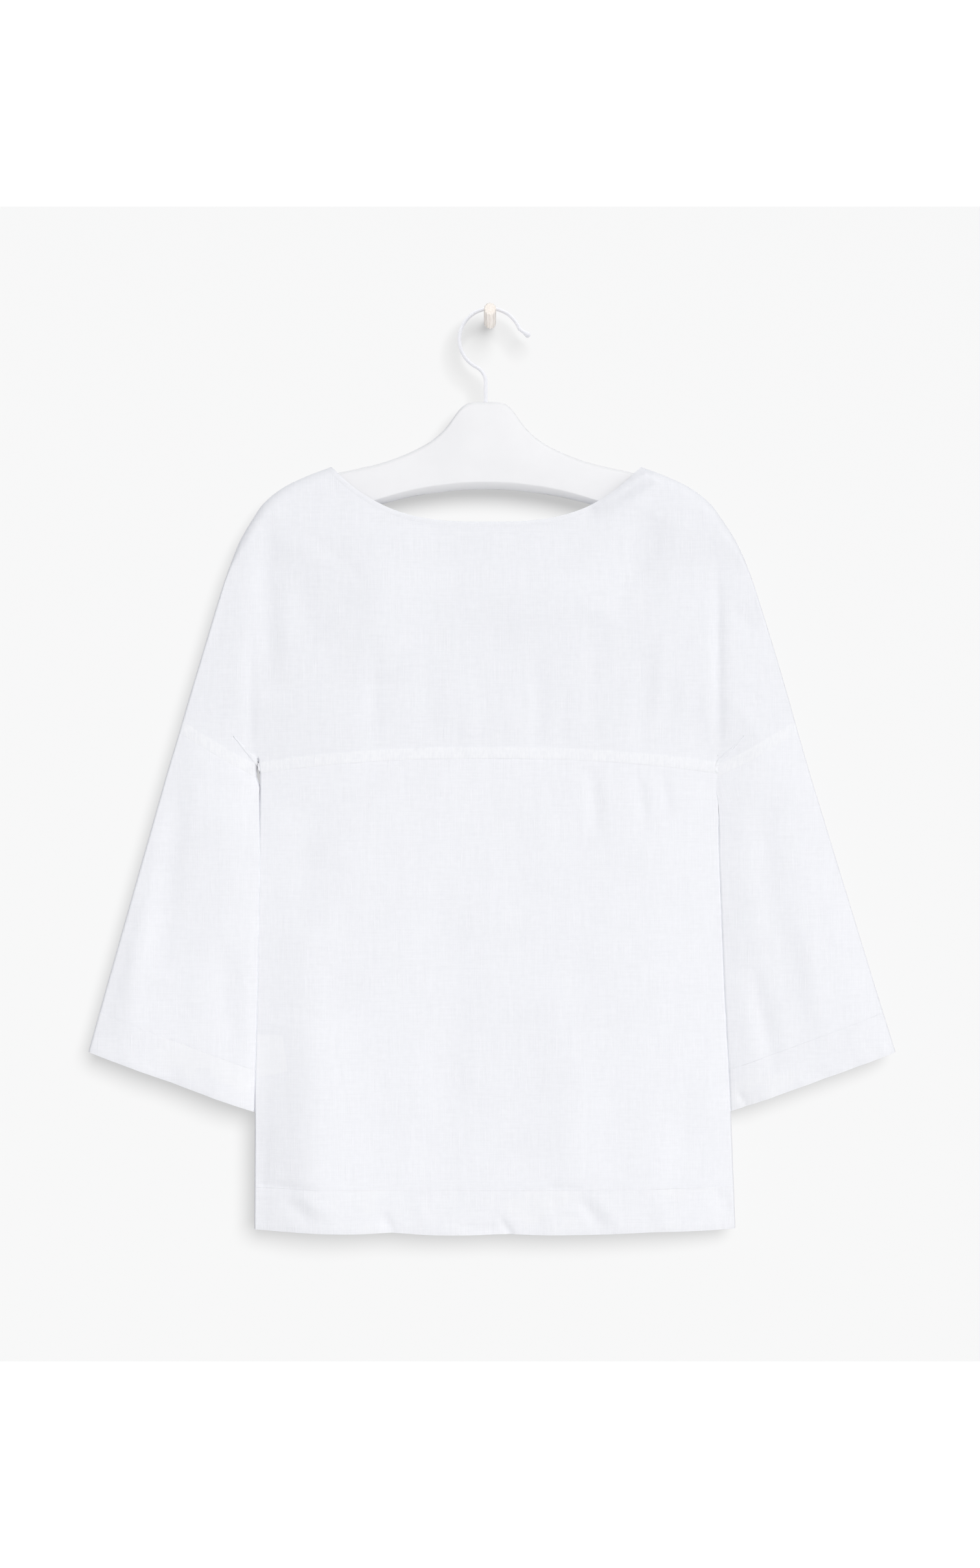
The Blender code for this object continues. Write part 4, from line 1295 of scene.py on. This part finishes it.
back_yoke = make_yoke("cloth_back_yoke", NEAR, BACK_NECK, *BACK_YOKE_GRID, yoke_linen)
back_panel = make_body("cloth_back_panel", NEAR, *BACK_PANEL_GRID, label_linen)
front_yoke = make_yoke("cloth_front_yoke", FAR, FRONT_NECK, *FRONT_YOKE_GRID, front_yoke_linen)
front_panel = make_body("cloth_front_panel", FAR, *FRONT_PANEL_GRID, body_linen)
back_hem = make_hem("cloth_back_hem", NEAR, hem_linen)
front_hem = make_hem("cloth_front_hem", FAR, hem_linen)
left_sleeve = make_sleeve("left", -1.0, body_linen)
right_sleeve = make_sleeve("right", 1.0, body_linen)
left_cuff = make_cuff("left", -1.0, hem_linen)
right_cuff = make_cuff("right", 1.0, hem_linen)
neck_binding = make_binding(binding_linen)
care_label = make_label(label_satin)
hanger = make_hanger(hanger_plastic)
hook = make_hook(hook_paint)
tip = make_tip(tip_plastic)
peg = make_peg(peg_wood)

# Every cloth piece: the node it stands for, its slot, its flat size and its flat area.
Cut = namedtuple("Cut", "piece node slot width length area")
CUTS = (
    Cut(back_yoke, "back_yoke", "white_linen", 0.601, 0.300, 0.122),
    Cut(back_panel, "back_panel", "white_linen", 0.465, 0.418, 0.189),
    Cut(front_yoke, "front_panel", "white_linen", 0.601, 0.300, 0.105),
    Cut(front_panel, "front_panel", "white_linen", 0.465, 0.418, 0.189),
    Cut(back_hem, "back_hem", "white_linen_doubled", 0.467, 0.043, 0.0195),
    Cut(front_hem, "front_hem", "white_linen_doubled", 0.467, 0.043, 0.0195),
    Cut(left_sleeve, "left_sleeve", "white_linen", 0.30, 0.285, 0.066),
    Cut(right_sleeve, "right_sleeve", "white_linen", 0.31, 0.285, 0.068),
    Cut(left_cuff, "left_cuff", "white_linen_doubled", 0.32, 0.040, 0.0128),
    Cut(right_cuff, "right_cuff", "white_linen_doubled", 0.33, 0.040, 0.0132),
    Cut(neck_binding, "neck_binding", "white_linen_edge", 0.74, 0.012, 0.0042),
    Cut(care_label, "care_label", "label_cloth", 0.028, 0.040, 0.00112),
)
for cut in CUTS:
    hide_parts(cut.node)
for piece, node, slot in (
    (hanger, "hanger_body", "white_plastic"),
    (hook, "hanger_hook", "white_painted_wire"),
    (tip, "hanger_hook_tip", "hook_tip_plastic"),
    (peg, "wall_peg", "pale_wood"),
):
    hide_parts(node)


# Wall, floor, light and camera.
WALL_GLOW = 0.497
WALL_GREY = 0.08
WALL_Y = 0.0005
WALL_HALF_WIDTH = 3.0
WALL_TOP = 0.1151
WALL_BOTTOM = -1.0237
SCREEN_GLOW = 1.0
SCREEN_GREY = 0.5
SCREEN_Y = 0.02
SCREEN_HALF_WIDTH = 6.0
SCREEN_HALF_HEIGHT = 3.0
FLOOR_GREY = 0.8
FLOOR_Z = -1.35


def stage_paint(name, grey, glow=0.0, one_sided=False):
    kit = Kit(name, {"Roughness": 0.95, "Specular IOR Level": 0.0})
    kit.shader.inputs["Emission Color"].default_value = (1.0, 1.0, 1.0, 1.0)
    kit.shader.inputs["Emission Strength"].default_value = glow
    paint = kit.done(**{"Base Color": (grey, grey, grey, 1.0)})
    if one_sided:
        # Seen from behind, the wall is clear, so that the object shows from every side.
        clear = kit.nodes.new("ShaderNodeBsdfTransparent")
        facing = kit.nodes.new("ShaderNodeNewGeometry")
        either = kit.nodes.new("ShaderNodeMixShader")
        kit.links.new(facing.outputs["Backfacing"], either.inputs["Fac"])
        kit.links.new(kit.shader.outputs["BSDF"], either.inputs[1])
        kit.links.new(clear.outputs["BSDF"], either.inputs[2])
        kit.links.new(either.outputs["Shader"], kit.nodes["Material Output"].inputs["Surface"])
    return paint


def stage_plane(name, corners, finish):
    bpy.ops.object.select_all(action="DESELECT")
    bpy.ops.mesh.primitive_plane_add(size=2.0)
    made = bpy.context.object
    made.name = name
    for vertex, corner in zip(made.data.vertices, corners):
        vertex.co = corner
    made.data.materials.append(finish)
    made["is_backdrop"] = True
    return made


def upright(y, half_width, low_z, high_z):
    return [(x, y, z) for z in (low_z, high_z) for x in (-half_width, half_width)]


def level(z, half_width, back_y):
    return [(x, y, z) for y in (-half_width, back_y) for x in (-half_width, half_width)]


wall = stage_plane("wall", upright(WALL_Y, WALL_HALF_WIDTH, WALL_BOTTOM, WALL_TOP),
                   stage_paint("wall_paint", WALL_GREY, WALL_GLOW, one_sided=True))
screen = stage_plane("screen",
                     upright(SCREEN_Y, SCREEN_HALF_WIDTH, -SCREEN_HALF_HEIGHT, SCREEN_HALF_HEIGHT),
                     stage_paint("screen_white", SCREEN_GREY, SCREEN_GLOW, one_sided=True))
floor = stage_plane("floor", level(FLOOR_Z, SCREEN_HALF_WIDTH, SCREEN_Y),
                    stage_paint("floor_paint", FLOOR_GREY))
for backdrop in (wall, screen):
    backdrop.visible_diffuse = False
    backdrop.visible_glossy = False
    backdrop.visible_shadow = False
floor.visible_shadow = False

WORLD_LIGHT = 0.35
WORLD_COLOUR = (0.93, 0.955, 1.0, 1.0)
world = bpy.data.worlds.new("studio")
bpy.context.scene.world = world
world.use_nodes = True
background = world.node_tree.nodes["Background"]
background.inputs["Color"].default_value = WORLD_COLOUR
background.inputs["Strength"].default_value = WORLD_LIGHT


# The light comes from the direction (right, -toward_wall, up) as seen from the garment, and
# the angle in degrees is how large its lamp looks.
Lamp = namedtuple("Lamp", "right toward_wall up angle strength colour", defaults=((1.0, 1.0, 1.0),))
KEY = Lamp(0.4, 1.0, 0.5, 30.0, 1.78, (1.0, 0.985, 0.965))
WALL_KEY = Lamp(0.3, 1.0, 0.35, 39.0, 17.4)
FILL = Lamp(-0.2, 1.0, -0.1, 120.0, 0.35)
BACK_FILL = Lamp(-0.1, -1.0, 0.35, 120.0, 1.6)
FROM_FLOOR = Lamp(0.2, 0.7, -1.0, 90.0, 3.0)
BEFORE_HOOK = Lamp(0.25, 1.0, 0.35, 170.0, 2.7)
BEHIND_HOOK = Lamp(0.0, -1.0, 0.0, 170.0, 1.7)


def sun(name, lamp):
    data = bpy.data.lights.new(name, "SUN")
    data.angle = math.radians(lamp.angle)
    data.energy = lamp.strength
    data.color = lamp.colour
    made = bpy.data.objects.new(name, data)
    bpy.context.scene.collection.objects.link(made)
    flat = math.hypot(lamp.right, lamp.toward_wall)
    turn = math.atan2(lamp.right, lamp.toward_wall)
    made.rotation_euler = (math.atan2(flat, lamp.up), 0.0, turn)
    return made


def light_only(light, name, objects):
    lit = bpy.data.collections.new(name)
    for thing in objects:
        lit.objects.link(thing)
    light.light_linking.receiver_collection = lit


# The key lights the object. A stronger lamp of the wall's own makes the shadows there, so that
# light from elsewhere hardly shows on the wall.
key = sun("key", KEY)
wall_key = sun("wall_key", WALL_KEY)
fill = sun("fill", FILL)
back_fill = sun("back_fill", BACK_FILL)
light_only(wall_key, "lit_wall", [wall])
# The peg's underside is lit from below, and the thin wire softly from before and behind.
from_floor = sun("from_floor", FROM_FLOOR)
light_only(from_floor, "lit_from_floor", [peg])
before_hook = sun("before_hook", BEFORE_HOOK)
behind_hook = sun("behind_hook", BEHIND_HOOK)
for light in (before_hook, behind_hook):
    light_only(light, f"{light.name}_lit", [hook, tip])
the_rest = [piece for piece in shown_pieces() if piece not in (hook, tip)]
for light in (key, fill, back_fill):
    light_only(light, f"{light.name}_lit", the_rest + [floor])

# The view is square to the wall, and its top edge stands this high above the peg's axis.
PHOTO_HEIGHT = 2420.0
MM_PER_PIXEL = 0.63
VIEW_TOP = 308.0
CAMERA_DISTANCE = 1.974
SENSOR = 36.0
camera_data = bpy.data.cameras.new("camera")
camera_data.sensor_fit = "VERTICAL"
camera_data.sensor_height = SENSOR
camera_data.lens = SENSOR * CAMERA_DISTANCE / (MM_PER_PIXEL * MM * PHOTO_HEIGHT)
camera = bpy.data.objects.new("camera", camera_data)
bpy.context.scene.collection.objects.link(camera)
view_z = VIEW_TOP - MM_PER_PIXEL * 0.5 * PHOTO_HEIGHT
camera.location = (0.0, PLANE_Y * MM - CAMERA_DISTANCE, view_z * MM)
camera.rotation_euler = (math.radians(90.0), 0.0, 0.0)
bpy.context.scene.camera = camera
bpy.context.scene.view_settings.view_transform = "Standard"
